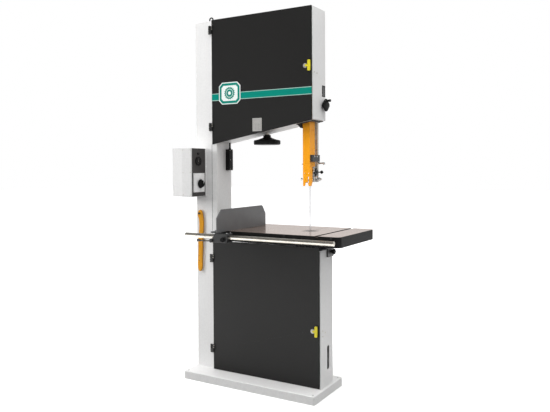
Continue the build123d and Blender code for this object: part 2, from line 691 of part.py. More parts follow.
def clamp_block():
    """Block that clamps the guard to the foot of the post."""
    arm = block(GUARD_X1, CLAMP_X1, GUARD_Y0 + 3, POST_Y1, CLAMP_Z0, CLAMP_Z1)
    arm += block(POST_X0 - 10, GUARD_X1 + 1, POST_Y0 - 12, POST_Y1, CLAMP_Z0, CLAMP_Z1)
    arm -= block(POST_X0, POST_X1, POST_Y0, POST_Y1 + 1, CLAMP_Z0 - 1, CLAMP_Z1 + 1)
    return arm


def clamp_screws():
    screws = []
    for y in (10, 42):
        head = rod_x(CLAMP_X1, CLAMP_X1 + 5, y, CLAMP_Z1 - 9, 5)
        screws.append(head - rod_x(CLAMP_X1 + 2, CLAMP_X1 + 6, y, CLAMP_Z1 - 9, 2.4))
    return group(screws)


HEAD_Z = 1275
THRUST_GAP = 0.6
ROLLER_R, ROLLER_W, ROLLER_PIN_R = 18, 12, 6
HEAD_FRONT = 36


def guide_bracket():
    """Cast bracket at the foot of the post that carries the upper blade guides."""
    stem = block(POST_X0, POST_X1, POST_Y0, POST_Y1, HEAD_Z - 16, POST_Z0)
    foot = block(POST_X0 - 14, GUARD_X1, HEAD_FRONT, POST_Y0, HEAD_Z - 16, HEAD_Z + 31)
    arm = block(POST_X0 - 14, GUARD_X1 - 3, HEAD_FRONT + 4, POST_Y0, HEAD_Z + 31, ROLLER_Z + 26)
    bracket = stem + foot + arm
    return bracket - rod_y(HEAD_FRONT - 1, POST_Y0 - 6, BLADE_X, ROLLER_Z, ROLLER_PIN_R + RUN)


def thrust_roller():
    """Roller behind the blade, on its own pin, that turns when the blade is pushed back."""
    y0 = BLADE_BACK + THRUST_GAP
    roller = rod_y(y0, y0 + ROLLER_W, BLADE_X, ROLLER_Z, ROLLER_R)
    return roller + rod_y(y0 + ROLLER_W, POST_Y0 - 8, BLADE_X, ROLLER_Z, ROLLER_PIN_R)


def side_guides():
    """Two slim guide pads, one each side of the blade."""
    pads = []
    for side in (-1, 1):
        face = BLADE_X + side * (BLADE_T / 2 + 0.4)
        x0, x1 = sorted((face, BLADE_X + side * 8))
        pads.append(block(x0, x1, 2, HEAD_FRONT, HEAD_Z - 12, HEAD_Z + 2))
    return group(pads)


def knurled_nuts():
    """Bright adjusting nuts on the right of the guide head."""
    nuts = []
    for x0, y, z, r, length in ((POST_X1, 79, HEAD_Z, 11, 14), (GUARD_X1, 54, HEAD_Z + 14, 9, 12)):
        nuts.append(rod_x(x0, x0 + length, y, z, r) + rod_x(x0 + length, x0 + length + 9, y, z, r * 0.55))
    return group(nuts)


def guard_thumb_screws():
    """Small bright thumb screws on the left edge of the guard."""
    screws = []
    for z, r, length in ((HEAD_Z + 2, 7, 13), (1366, 4, 6)):
        y = GUARD_Y0 + GUARD_T + 9
        body = rod_x(GUARD_X0 - length, GUARD_X0 + 12, y, z, r * 0.45)
        head = rod_x(GUARD_X0 - length - 5, GUARD_X0 - length, y, z, r)
        screws.append(body + head + block(GUARD_X0 + 4, GUARD_X0 + 12, GUARD_Y0 + GUARD_T, y, z - 5, z + 5))
    return group(screws)


LEVER_Z = 1372


def guard_lever():
    """Thumb lever that releases the guide head, on the right of the post."""
    pivot_x, pivot_y = POST_X1 + CLEAR, 79
    hub = rod_x(pivot_x, pivot_x + 10, pivot_y, LEVER_Z, 7)
    arm = block(pivot_x + 2, pivot_x + 40, pivot_y - 3, pivot_y + 3, LEVER_Z - 4, LEVER_Z + 4)
    tip = rod_z(LEVER_Z - 9, LEVER_Z + 5, pivot_x + 40, pivot_y, 6)
    return hub + arm + tip


def guide_knob():
    """Black oval knob that sets the thrust roller."""
    z = ROLLER_Z - 12
    stem = rod_x(POST_X1 + CLEAR, POST_X1 + 16, 79, z, 3.5)
    grip = Pos(POST_X1 + 24, 79, z) * Rot(0, -35, 0) * Cylinder(9, 17)
    return stem + fillet(grip.edges(), 4)


def height_handwheel():
    """Four-lobed knob with a crank peg, on the right of the upper housing."""
    hub = rod_x(UPPER_RIGHT + CLEAR, UPPER_RIGHT + 14, PINION_Y, PINION_Z, 13)
    x0, x1 = UPPER_RIGHT + 10, UPPER_RIGHT + 28
    knob = rod_x(x0, x1, PINION_Y, PINION_Z, 25)
    lobe_out = 26
    for index in range(4):
        angle = radians(90 * index)
        lobe_y = PINION_Y + lobe_out * cos(angle)
        lobe_z = PINION_Z + lobe_out * sin(angle)
        knob += rod_x(x0 + 1, x1 - 1, lobe_y, lobe_z, 12)
    peg = rod_x(x1 - 1, x1 + 24, PINION_Y, PINION_Z + lobe_out, 8)
    return hub + knob + fillet(peg.edges(), 3)


PINION_R = RACK_TIP_Y - PINION_Y - CLEAR
PINION_TEETH = 9


def pinion_shaft():
    """Pinion and its shaft; the teeth run a small gap off the rack's tips."""
    shaft = rod_x(POST_X0 + 4, UPPER_RIGHT + CLEAR, PINION_Y, PINION_Z, PINION_SHAFT_R)
    outline = []
    for index in range(PINION_TEETH):
        for share, r in ((0.0, PINION_R - 1.6), (0.3, PINION_R), (0.6, PINION_R), (0.9, PINION_R - 1.6)):
            angle = 2 * pi * (index + share) / PINION_TEETH
            outline.append((PINION_Y + r * cos(angle), PINION_Z + r * sin(angle)))
    return shaft + prism_x(outline, POST_X0 + 6, POST_X1 - 6)


# ---------------------------------------------------------------- table

EDGE_WALL = 16
CORNER_R = 28
RIB_T = 12
TRUNNION_Y = ((-58, -30), (66, 94))
TRUNNION_PAD_Z = TABLE_Z - TABLE_PLATE
INSERT_HOLE = 66


def table_top():
    """Ribbed cast table with mitre slot, insert seat and blade-change slit to the rear."""
    outer = block(TABLE_X0, TABLE_X1, TABLE_Y0, TABLE_Y1, TABLE_Z - TABLE_EDGE, TABLE_Z)
    outer = fillet(outer.edges().filter_by(Axis.Z), CORNER_R)
    hollow = block(
        TABLE_X0 + EDGE_WALL, TABLE_X1 - EDGE_WALL, TABLE_Y0 + EDGE_WALL, TABLE_Y1 - EDGE_WALL,
        TABLE_Z - TABLE_EDGE - 1, TABLE_Z - TABLE_PLATE,
    )
    hollow = fillet(hollow.edges().filter_by(Axis.Z), CORNER_R - EDGE_WALL)
    rib_bottom, rib_top = TABLE_Z - RIB_DEPTH, TABLE_Z
    for x in (0, 170, SLOT_X, 570):
        half = SLOT_W if x == SLOT_X else RIB_T / 2
        hollow -= block(x - half, x + half, TABLE_Y0, TABLE_Y1, rib_bottom, rib_top)
    for y in (-110, 130):
        hollow -= block(TABLE_X0, TABLE_X1, y - RIB_T / 2, y + RIB_T / 2, rib_bottom, rib_top)
    top = outer - hollow
    length = TABLE_Y1 - TABLE_Y0 + 2
    top -= Pos(SLOT_X, (TABLE_Y0 + TABLE_Y1) / 2, TABLE_Z) * Box(SLOT_W, length, 2 * SLOT_D)
    seat = INSERT_SIZE + 2 * CLEAR
    top -= Pos(BLADE_X, INSERT_Y, TABLE_Z) * Box(seat, seat, 2 * INSERT_T)
    top -= Pos(BLADE_X, INSERT_Y, TABLE_Z) * Box(INSERT_HOLE, INSERT_HOLE, 3 * TABLE_PLATE)
    slit_half = 1.5
    z0 = TABLE_Z - TABLE_EDGE - 1
    return top - block(BLADE_X - slit_half, BLADE_X + slit_half, INSERT_Y, TABLE_Y1 + 1, z0, TABLE_Z + 1)


def trunnions():
    """Two half-moon trunnions under the table, round about the tilt axis."""
    pieces = []
    chord = TABLE_Z - TRUNNION_PAD_Z
    for y0, y1 in TRUNNION_Y:
        disc = rod_y(y0, y1, BLADE_X, TABLE_Z, TRUNNION_R)
        disc -= block(BLADE_X - 200, BLADE_X + 200, y0 - 1, y1 + 1, TABLE_Z - chord, TABLE_Z + 200)
        disc -= block(BLADE_X - 3, BLADE_X + 3, y0 - 1, y1 + 1, TABLE_Z - 40, TABLE_Z)
        pieces.append(disc)
    return group(pieces)


CRADLE_HALF = 66


def trunnion_cradle():
    """Two saddles on the cabinet's top that the trunnions turn in."""
    pieces = []
    for y0, y1 in TRUNNION_Y:
        saddle = block(BLADE_X - CRADLE_HALF, BLADE_X + CRADLE_HALF, y0, y1, CABINET_TOP, TABLE_Z - 64)
        saddle -= rod_y(y0 - 1, y1 + 1, BLADE_X, TABLE_Z, TRUNNION_R + CLEAR)
        pieces.append(saddle)
    return group(pieces)


def table_insert():
    """Square insert round the blade, lifted out to change the blade."""
    size = INSERT_SIZE
    plate = Pos(BLADE_X, INSERT_Y, TABLE_Z - INSERT_T / 2) * Box(size, size, INSERT_T)
    plate = fillet(plate.edges().filter_by(Axis.Z), 3)
    slot = block(BLADE_X - 3, BLADE_X + 3, INSERT_Y - 25, INSERT_Y + size, TABLE_Z - 10, TABLE_Z + 1)
    return plate - slot


SPACER_X = (-130, 295, 590)


def front_rail():
    rail = rod_x(RAIL_X0, RAIL_X1, RAIL_Y, RAIL_Z, RAIL_R)
    return chamfer(rail.edges().filter_by(GeomType.CIRCLE), 1.5)


def rail_spacers():
    """Spacers between the table's front edge and the rail."""
    spacers = []
    for x in SPACER_X:
        spacer = rod_y(RAIL_Y, TABLE_Y0, x, RAIL_Z, 9)
        spacers.append(spacer - rod_x(x - 20, x + 20, RAIL_Y, RAIL_Z, RAIL_R))
    return group(spacers)


# ---------------------------------------------------------------- fence

FENCE_CARRIAGE = (-180, -50, -302, -236, 903, 958)
FENCE_Y0, FENCE_Y1 = -345, 202
FENCE_Z0 = TABLE_Z + 0.6


def fence_carriage():
    """Block that slides on the rail; a slot at its back lets the spacers pass."""
    x0, x1, y0, y1, z0, z1 = FENCE_CARRIAGE
    body = block(x0, x1, y0, y1, z0, z1)
    body = fillet(body.edges().filter_by(Axis.X).group_by(Axis.Y)[0], 8)
    body -= rod_x(x0 - 1, x1 + 1, RAIL_Y, RAIL_Z, RAIL_R + RUN)
    return body - block(x0 - 1, x1 + 1, RAIL_Y, y1 + 1, RAIL_Z - 10, RAIL_Z + 10)


def fence_bracket():
    """Angle that joins the fence plate to its carriage."""
    x0, x1, y0, y1, z0, z1 = FENCE_CARRIAGE
    face = FENCE_FACE_X - FENCE_T
    foot = block(x0 + 8, face, y0 + 8, y1 - 4, z1, z1 + 8)
    upright = block(face - 8, face, y0 + 8, y1 - 4, z1, z1 + 80)
    return foot + upright


def fence_screws():
    """Cap screws on the bracket's foot and through its upright."""
    x0, x1, y0, y1, z0, z1 = FENCE_CARRIAGE
    heads = []
    for x in (-150, -122):
        heads.append(rod_z(z1 + 8, z1 + 15, x, -266, 6.5) - rod_z(z1 + 11, z1 + 16, x, -266, 3.2))
    for z in (z1 + 34, z1 + 62):
        face = FENCE_FACE_X - FENCE_T - 8
        heads.append(rod_x(face - 6, face, -266, z, 6.5))
    return group(heads)


def fence_plate():
    """Tall fence plate with its upper corners cut off."""
    z0, z1 = FENCE_Z0, TABLE_Z + FENCE_H
    outline = [
        (FENCE_Y0, z0), (FENCE_Y1, z0), (FENCE_Y1, z1 - 55),
        (FENCE_Y1 - 34, z1 - 8), (FENCE_Y1 - 44, z1), (FENCE_Y0 + 46, z1), (FENCE_Y0, z1 - 50),
    ]
    return prism_x(outline, FENCE_FACE_X - FENCE_T, FENCE_FACE_X)


def fence_lever():
    """Slim clamp lever of the fence, on the left of the carriage below the rail."""
    x0, _, y0, _, z0, _ = FENCE_CARRIAGE
    z = z0 + 8
    hub = rod_y(y0 - 12, y0 - CLEAR, x0 + 20, z, 9)
    arm = rod_x(x0 - 66, x0 + 20, y0 - 7, z, 4)
    grip = rod_x(x0 - 84, x0 - 58, y0 - 7, z, 6.5)
    return hub + arm + fillet(grip.edges(), 2)


# ---------------------------------------------------------------- controls and small fittings

BOX_RIGHT = -370
BOX_FRONT = -224
BOX_Z0, BOX_Z1 = 1166, 1472


def control_enclosure():
    """Sheet enclosure for the switchgear on the column's slanted face."""
    outline = [
        (BOX_RIGHT, column_front(BOX_RIGHT)),
        (BOX_RIGHT, BOX_FRONT),
        (-443, BOX_FRONT),
        (-535, BOX_FRONT + 19),
        (-535, COLUMN_LEFT_FRONT),
        (COLUMN_LEFT, COLUMN_LEFT_FRONT),
    ]
    body = prism_z(outline, BOX_Z0, BOX_Z1)
    return fillet(body.edges().filter_by(Axis.Z).group_by(Axis.Y)[0], 3)


PANEL_Y0, PANEL_Y1 = -218, -84
PANEL_T = 4
PLATE_Y0, PLATE_Y1 = PANEL_Y0 + 10, PANEL_Y1 - 10
PLATE_Z0, PLATE_Z1 = BOX_Z0 + 28, BOX_Z0 + 148


def control_panel():
    """Dark panel frame on the enclosure's right side, with the light selector plate let in."""
    panel = block(BOX_RIGHT, BOX_RIGHT + PANEL_T, PANEL_Y0, PANEL_Y1, BOX_Z0 + 2, BOX_Z1 - 1)
    return panel - block(BOX_RIGHT + 2, BOX_RIGHT + 9, PLATE_Y0, PLATE_Y1, PLATE_Z0, PLATE_Z1)


def selector_plate():
    """Light plate behind the rotary selector."""
    return block(BOX_RIGHT + 2, BOX_RIGHT + 5, PLATE_Y0, PLATE_Y1, PLATE_Z0, PLATE_Z1)


KNOB_Y, KNOB_Z = -139, 1247
PANEL_FACE = BOX_RIGHT + 5
DIAL_Y, DIAL_Z, LAMP_Z = -160, 1390, 1438


def selector_knob():
    """Rotary selector with a raised pointer bar."""
    x0 = PANEL_FACE + CLEAR
    knob = rod_x(x0, x0 + 8, KNOB_Y, KNOB_Z, 24) + rod_x(x0 + 8, x0 + 20, KNOB_Y, KNOB_Z, 18)
    return knob + block(x0 + 20, x0 + 26, KNOB_Y - 4, KNOB_Y + 4, KNOB_Z - 18, KNOB_Z + 18)


def round_dial():
    """Round ammeter-like dial in the dark half of the panel."""
    x0 = BOX_RIGHT + PANEL_T
    dial = rod_x(x0, x0 + 6, DIAL_Y, DIAL_Z, 28)
    return dial - rod_x(x0 + 3, x0 + 7, DIAL_Y, DIAL_Z, 23)


def pilot_lamp():
    x0 = BOX_RIGHT + PANEL_T
    bezel = rod_x(x0, x0 + 4, DIAL_Y, LAMP_Z, 8)
    lens = Pos(x0 + 4, DIAL_Y, LAMP_Z) * Sphere(5.5)
    return bezel + lens - rod_x(x0 - 20, x0, DIAL_Y, LAMP_Z, 20)


SWITCH_Y0, SWITCH_Y1 = 24, 66
SWITCH_Z0, SWITCH_Z1 = 1328, 1458


def switch_box():
    """Door interlock switch on the throat side of the column."""
    body = block(THROAT_X, THROAT_X + 30, SWITCH_Y0, SWITCH_Y1, SWITCH_Z0, SWITCH_Z1)
    return fillet(body.edges().filter_by(Axis.X), 4)


def switch_conduit():
    """Short rigid conduit from the switch up to the housing's underside."""
    x, y = THROAT_X + 13, 45
    top = slant_z(x) + 3
    tube = rod_z(SWITCH_Z1, top + 5, x, y, 7)
    left, right = x - 40, x + 40
    housing = [underside(left, 3), underside(right, 3), (right, top + 60), (left, top + 60)]
    nut = rod_z(SWITCH_Z1, SWITCH_Z1 + 9, x, y, 11)
    return tube + nut - prism_y(housing, y - 20, y + 20)


STICK_X = -421
STICK_Z0, STICK_Z1 = 673, 1076
PEG_Z = 1052
PEG_HEAD_R = 6.4


def stick_peg():
    """Hook for the push stick on the column's slanted face."""
    y = column_front(STICK_X)
    stem = rod_y(y - 24, y + 1, STICK_X, PEG_Z, 5) + rod_y(y - 28, y - 24, STICK_X, PEG_Z, PEG_HEAD_R)
    left, right = STICK_X - 40, STICK_X + 40
    wall = [(left, column_front(left)), (right, column_front(right)), (right, 0), (left, 0)]
    return stem - prism_z(wall, PEG_Z - 40, PEG_Z + 40)


def push_stick():
    """Flat push stick with a gentle bend, a hanging hole and a notched foot."""
    z0, z1, mid = STICK_Z0, STICK_Z1, STICK_X
    outline = [
        (mid - 11, z0), (mid + 3, z0 + 2), (mid + 6, z0 + 14), (mid + 14, z0 + 20),
        (mid + 15, z0 + 60), (mid + 12, z0 + 90), (mid + 11, z0 + 220), (mid + 18, z0 + 260),
        (mid + 19, z0 + 330), (mid + 12, z0 + 385), (mid + 4, z1), (mid - 10, z1),
        (mid - 16, z0 + 388), (mid - 15, z0 + 350), (mid - 9, z0 + 310), (mid - 8, z0 + 240),
        (mid - 13, z0 + 200), (mid - 13, z0 + 20),
    ]
    back = column_front(mid + 20) - 3
    stick = prism_y(outline, back - 13, back)
    stick = fillet(stick.edges().filter_by(Axis.Y), 2)
    stick -= rod_y(back - 14, back + 1, STICK_X, PEG_Z, PEG_HEAD_R + 0.6)
    for z in (z0 + 42, z0 + 128):
        stick -= rod_y(back - 14, back + 1, STICK_X, z, 3)
    return stick


TILT_Y, TILT_Z = 66, 843


def tilt_bracket():
    """Bracket of the table's tilt lock on the cabinet's right wall."""
    x0 = LOWER_RIGHT
    plate = block(x0, x0 + 9, 12, 92, 815, 866)
    return plate - rod_x(x0 - 1, x0 + 10, TILT_Y, TILT_Z, 6 + RUN)


def tilt_knob():
    """Tilt lock knob with its stud."""
    x0 = LOWER_RIGHT + 9 + CLEAR
    stud = rod_x(LOWER_RIGHT + 1, x0, TILT_Y, TILT_Z, 6)
    return stud + rod_x(x0, x0 + 6, TILT_Y, TILT_Z, 11) + rod_x(x0 + 6, x0 + 22, TILT_Y, TILT_Z, 17)


def frame_screws():
    """Button-head screws on the right walls and round the motor plate."""
    screws = []
    for y, z in ((-58, 1904), (-22, 1901)):
        screws.append(rod_x(UPPER_RIGHT, UPPER_RIGHT + 2.5, y, z, 4))
    for y, z in ((-44, 388), (-44, 356), (-12, 372)):
        screws.append(rod_x(LOWER_RIGHT, LOWER_RIGHT + 2.5, y, z, 4))
    for sx in (-1, 1):
        for sz in (-1, 1):
            x, z = MOTOR_X + sx * 104, MOTOR_Z + sz * 104
            if sx > 0 and sz > 0:
                continue
            screws.append(rod_y(FRAME_BACK + MOTOR_PLATE_T, FRAME_BACK + MOTOR_PLATE_T + 8, x, z, 9))
    return group(screws)


# ---------------------------------------------------------------- one file for each node

NODES = {
    "base_plate": base_plate,
    "column": column,
    "upper_housing": upper_housing,
    "lower_housing": lower_housing,
    "lifting_eye": lifting_eye,
    "hinge_leaves": lambda: group([hinge_leaf(z) for z in UPPER_HINGE_Z + LOWER_HINGE_Z]),
    "frame_screws": frame_screws,
    "upper_door": upper_door,
    "door_stripe": door_stripe,
    "door_plates": lambda: group([door_emblem(), rating_plate()]),
    "upper_latch": lambda: door_latch(UPPER_LOCK_X, UPPER_LOCK_Z, LATCH_BAR_OUT),
    "lower_door": lower_door,
    "lower_latch": lambda: door_latch(LOWER_LOCK_X, LOWER_LOCK_Z, LATCH_BAR_OUT - 3),
    "upper_wheel": lambda: wheel_casting(UPPER_WHEEL_Z, BEARING_SEAT_R),
    "upper_tyre": lambda: tyre(UPPER_WHEEL_Z),
    "wheel_bearings": wheel_bearings,
    "wheel_carriage": lambda: wheel_carriage() + upper_axle(),
    "tension_rails": lambda: group([slide_rails(), tension_bearing()]),
    "tension_screw": tension_screw,
    "tension_handwheel": tension_handwheel,
    "lower_wheel": lambda: wheel_casting(LOWER_WHEEL_Z, SHAFT_R),
    "lower_tyre": lambda: tyre(LOWER_WHEEL_Z),
    "lower_shaft": lower_shaft,
    "lower_pulley": lambda: pulley(WHEEL_X, LOWER_WHEEL_Z, PULLEY_R, SHAFT_R),
    "lower_bearing": lower_bearing,
    "saw_blade": saw_blade,
    "drive_belt": drive_belt,
    "motor": motor,
    "motor_plate": motor_plate,
    "motor_pulley": motor_pulley,
    "guide_post": lambda: guide_post() + post_rack(),
    "post_socket": post_socket,
    "blade_guard": blade_guard,
    "clamp_block": clamp_block,
    "guide_bracket": guide_bracket,
    "thrust_roller": thrust_roller,
    "side_guides": side_guides,
    "guide_nuts": lambda: group([knurled_nuts(), guard_thumb_screws(), clamp_screws()]),
    "guard_lever": guard_lever,
    "guide_knob": guide_knob,
    "height_handwheel": height_handwheel,
    "pinion_shaft": pinion_shaft,
    "table_top": table_top,
    "trunnions": trunnions,
    "trunnion_cradle": trunnion_cradle,
    "table_insert": table_insert,
    "front_rail": lambda: group([front_rail(), rail_spacers()]),
    "fence_carriage": fence_carriage,
    "fence_bracket": lambda: group([fence_bracket(), fence_screws()]),
    "fence_plate": fence_plate,
    "fence_lever": fence_lever,
    "control_enclosure": control_enclosure,
    "control_panel": control_panel,
    "selector_plate": selector_plate,
    "selector_knob": selector_knob,
    "panel_gauges": lambda: group([round_dial(), pilot_lamp()]),
    "switch_box": lambda: switch_box() + switch_conduit(),
    "push_stick": push_stick,
    "tilt_bracket": lambda: group([tilt_bracket(), stick_peg()]),
    "tilt_knob": tilt_knob,
}


if __name__ == "__main__":
    os.makedirs("parts", exist_ok=True)
    for name, make in NODES.items():
        save(name, make())
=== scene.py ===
import json
from math import cos, pi, radians, sin

import bmesh
import bpy
from mathutils import Matrix, Vector


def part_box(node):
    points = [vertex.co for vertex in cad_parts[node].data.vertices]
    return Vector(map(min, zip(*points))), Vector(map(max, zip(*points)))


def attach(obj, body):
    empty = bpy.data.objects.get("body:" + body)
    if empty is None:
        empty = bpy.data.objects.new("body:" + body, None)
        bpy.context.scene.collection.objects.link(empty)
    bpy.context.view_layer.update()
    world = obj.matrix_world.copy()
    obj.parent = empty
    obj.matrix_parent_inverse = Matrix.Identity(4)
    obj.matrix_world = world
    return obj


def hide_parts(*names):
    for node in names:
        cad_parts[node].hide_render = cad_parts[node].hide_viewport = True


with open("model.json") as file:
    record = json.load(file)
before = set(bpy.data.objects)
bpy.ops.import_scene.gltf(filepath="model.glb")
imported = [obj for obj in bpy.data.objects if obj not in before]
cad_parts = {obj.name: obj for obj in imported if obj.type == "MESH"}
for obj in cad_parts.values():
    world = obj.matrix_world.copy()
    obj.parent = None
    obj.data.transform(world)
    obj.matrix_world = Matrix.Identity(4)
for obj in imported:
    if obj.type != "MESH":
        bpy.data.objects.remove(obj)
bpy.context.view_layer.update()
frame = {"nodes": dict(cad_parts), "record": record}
SCENE = bpy.context.scene
NODES = frame["nodes"]
MM = 0.001

X_AXIS, Y_AXIS, Z_AXIS = Vector((1, 0, 0)), Vector((0, 1, 0)), Vector((0, 0, 1))


# ------------------------------------------------------------------ camera

SENSOR = 36.0
CAMERA_PLACE = (2.0368, -3.2887, 1.3557)
CAMERA_YAW, CAMERA_PITCH, CAMERA_ROLL = radians(30.438), radians(1.094), radians(-0.307)
CAMERA_LENS = 40.45
CAMERA_SHIFT = -0.0509


def make_camera():
    data = bpy.data.cameras.new("camera")
    data.sensor_width = SENSOR
    data.lens = CAMERA_LENS
    data.shift_y = CAMERA_SHIFT
    camera = bpy.data.objects.new("camera", data)
    SCENE.collection.objects.link(camera)
    turn = Matrix.Rotation(CAMERA_YAW, 4, "Z") @ Matrix.Rotation(pi / 2 - CAMERA_PITCH, 4, "X")
    turn = turn @ Matrix.Rotation(CAMERA_ROLL, 4, "Z")
    camera.matrix_world = Matrix.Translation(CAMERA_PLACE) @ turn
    SCENE.camera = camera


# ------------------------------------------------------------------ studio

FLOOR_HALF = 30.0


def area_light(name, place, target, size, power):
    """Square light aimed at a point, which shiny faces don't mirror."""
    data = bpy.data.lights.new(name, "AREA")
    data.shape = "SQUARE"
    data.size = size
    data.energy = power
    light = bpy.data.objects.new(name, data)
    SCENE.collection.objects.link(light)
    light.visible_glossy = False
    aim = Vector(target) - Vector(place)
    light.matrix_world = Matrix.Translation(place) @ aim.to_track_quat("-Z", "Y").to_matrix().to_4x4()


def make_world():
    """Plain white surroundings, dimmer towards the front and below in light and reflections."""
    world = bpy.data.worlds.new("studio")
    world.use_nodes = True
    SCENE.world = world
    nodes = Nodes(world.node_tree)
    background = nodes.tree.nodes["Background"]
    background.inputs["Color"].default_value = (1, 1, 1, 1)
    split = nodes.add("ShaderNodeSeparateXYZ")
    nodes.link(nodes.add("ShaderNodeTexCoord").outputs["Generated"], split.inputs[0])
    depth = nodes.remap(split.outputs["Y"], 0.22, 0.80, -0.4, 0.6)
    below = nodes.remap(split.outputs["Z"], 0.62, 1.0, -0.25, 0.1)
    seen = nodes.add("ShaderNodeLightPath").outputs["Is Camera Ray"]
    strength = nodes.math("MAXIMUM", seen, nodes.math("MULTIPLY", depth, below))
    nodes.link(strength, background.inputs["Strength"])


def make_floor():
    """Large floor that takes shadows but throws no light back up under the machine."""
    mesh = bpy.data.meshes.new("floor")
    corners = [(x, y, 0) for x, y in rectangle(-FLOOR_HALF, FLOOR_HALF, -FLOOR_HALF, FLOOR_HALF)]
    mesh.from_pydata(corners, [], [(0, 1, 2, 3)])
    floor = bpy.data.objects.new("floor", mesh)
    SCENE.collection.objects.link(floor)
    mesh.materials.append(MATERIALS["floor"])
    floor.visible_diffuse = False


# ------------------------------------------------------------------ materials

class Nodes:
    """A node tree under construction."""

    def __init__(self, tree):
        self.tree = tree

    def add(self, kind):
        return self.tree.nodes.new(kind)

    def link(self, output, socket):
        self.tree.links.new(output, socket)

    def remap(self, fac, low, high, from_low=0.3, from_high=0.7):
        node = self.add("ShaderNodeMapRange")
        node.inputs["From Min"].default_value = from_low
        node.inputs["From Max"].default_value = from_high
        node.inputs["To Min"].default_value = low
        node.inputs["To Max"].default_value = high
        self.link(fac, node.inputs["Value"])
        return node.outputs["Result"]

    def math(self, operation, first, second):
        node = self.add("ShaderNodeMath")
        node.operation = operation
        for socket, value in zip(node.inputs, (first, second)):
            if isinstance(value, (int, float)):
                socket.default_value = value
            else:
                self.link(value, socket)
        return node.outputs[0]


class Shader(Nodes):
    """A node material under construction, with its pattern coordinates in metres."""

    def __init__(self, name):
        self.material = bpy.data.materials.new(name)
        self.material.use_nodes = True
        super().__init__(self.material.node_tree)
        self.shader = self.tree.nodes["Principled BSDF"]
        self.coords = self.add("ShaderNodeTexCoord").outputs["Object"]

    def set(self, **values):
        """Fixed values of the shader's sockets, which are named with _ for each space."""
        for key, value in values.items():
            self.shader.inputs[key.replace("_", " ")].default_value = value

    def feed(self, **outputs):
        """Outputs of other nodes into the shader's sockets."""
        for key, output in outputs.items():
            self.link(output, self.shader.inputs[key.replace("_", " ")])

    def stretched(self, scale):
        """Coordinates multiplied along each axis, for grain that runs one way."""
        mapping = self.add("ShaderNodeMapping")
        mapping.inputs["Scale"].default_value = scale
        self.link(self.coords, mapping.inputs["Vector"])
        return mapping.outputs["Vector"]

    def noise(self, scale, detail=3.0, vector=None, rough=0.55):
        node = self.add("ShaderNodeTexNoise")
        node.inputs["Scale"].default_value = scale
        node.inputs["Detail"].default_value = detail
        node.inputs["Roughness"].default_value = rough
        self.link(self.coords if vector is None else vector, node.inputs["Vector"])
        return node.outputs["Fac"]

    def ramp(self, fac, stops):
        """Colours against a factor; stops holds (position, (r, g, b))."""
        node = self.add("ShaderNodeValToRGB")
        elements = node.color_ramp.elements
        while len(elements) < len(stops):
            elements.new(0.5)
        for element, (place, colour) in zip(elements, stops):
            element.position = place
            element.color = (*colour, 1)
        self.link(fac, node.inputs["Fac"])
        return node.outputs["Color"]

    def tone(self, fac, colour, dark, light):
        """One colour, darker and lighter by two factors."""
        return self.ramp(fac, [(0.3, scaled(colour, dark)), (0.7, scaled(colour, light))])

    def grey(self, fac, dark, low=0.3, high=0.7):
        """Grey to white, to multiply a colour by."""
        return self.ramp(fac, [(low, (dark, dark, dark)), (high, (1.0, 1.0, 1.0))])

    def blend(self, fac, first, second, mode="MIX"):
        node = self.add("ShaderNodeMix")
        node.data_type = "RGBA"
        node.blend_type = mode
        node.clamp_result = True
        sockets = [s for s in node.inputs if s.type == "RGBA"]
        for socket, value in zip(sockets, (first, second)):
            if isinstance(value, tuple):
                socket.default_value = (*value, 1)
            else:
                self.link(value, socket)
        factor = node.inputs["Factor"]
        if isinstance(fac, float):
            factor.default_value = fac
        else:
            self.link(fac, factor)
        return [s for s in node.outputs if s.type == "RGBA"][0]

    def bump(self, *layers):
        """Stacks (height, strength, depth in metres) layers and feeds the shader's normal."""
        normal = None
        for height, strength, depth in layers:
            node = self.add("ShaderNodeBump")
            node.inputs["Strength"].default_value = strength
            node.inputs["Distance"].default_value = depth
            self.link(height, node.inputs["Height"])
            if normal is not None:
                self.link(normal, node.inputs["Normal"])
            normal = node.outputs["Normal"]
        self.feed(Normal=normal)

    def edges(self, radius):
        """Near 1 on sharp edges and 0 on flat ground."""
        bevel = self.add("ShaderNodeBevel")
        bevel.samples = 4
        bevel.inputs["Radius"].default_value = radius
        geometry = self.add("ShaderNodeNewGeometry")
        dot = self.add("ShaderNodeVectorMath")
        dot.operation = "DOT_PRODUCT"
        self.link(bevel.outputs["Normal"], dot.inputs[0])
        self.link(geometry.outputs["Normal"], dot.inputs[1])
        return self.remap(dot.outputs["Value"], 1.0, 0.0, 0.75, 0.995)


def scaled(colour, factor):
    return tuple(min(1.0, channel * factor) for channel in colour)


def painted(name, colour, rough, peel=0.25, wear=None, drift=0.10, specular=0.5):
    """Sprayed or powder-coated metal: orange peel, slow tone drift, fine dust and worn edges."""
    s = Shader(name)
    s.set(Specular_IOR_Level=specular)
    slow = s.noise(2.2, 2.0)
    fine = s.noise(90.0, 4.0)
    tone = s.tone(slow, colour, 1 - drift, 1 + drift)
    dust = s.grey(fine, 0.90, 0.35, 0.62)
    shade = s.blend(0.5, tone, dust, "MULTIPLY")
    if wear is not None:
        rub = s.math("MULTIPLY", s.edges(0.0022), s.remap(s.noise(38.0, 4.0), 0.0, 0.9, 0.42, 0.64))
        shade = s.blend(rub, shade, wear)
    s.feed(Base_Color=shade, Roughness=s.remap(fine, rough - 0.06, rough + 0.08))
    s.bump((s.noise(420.0, 2.0), peel, 0.0006), (s.noise(1500.0, 1.0), peel * 0.5, 0.0002))
    return s.material


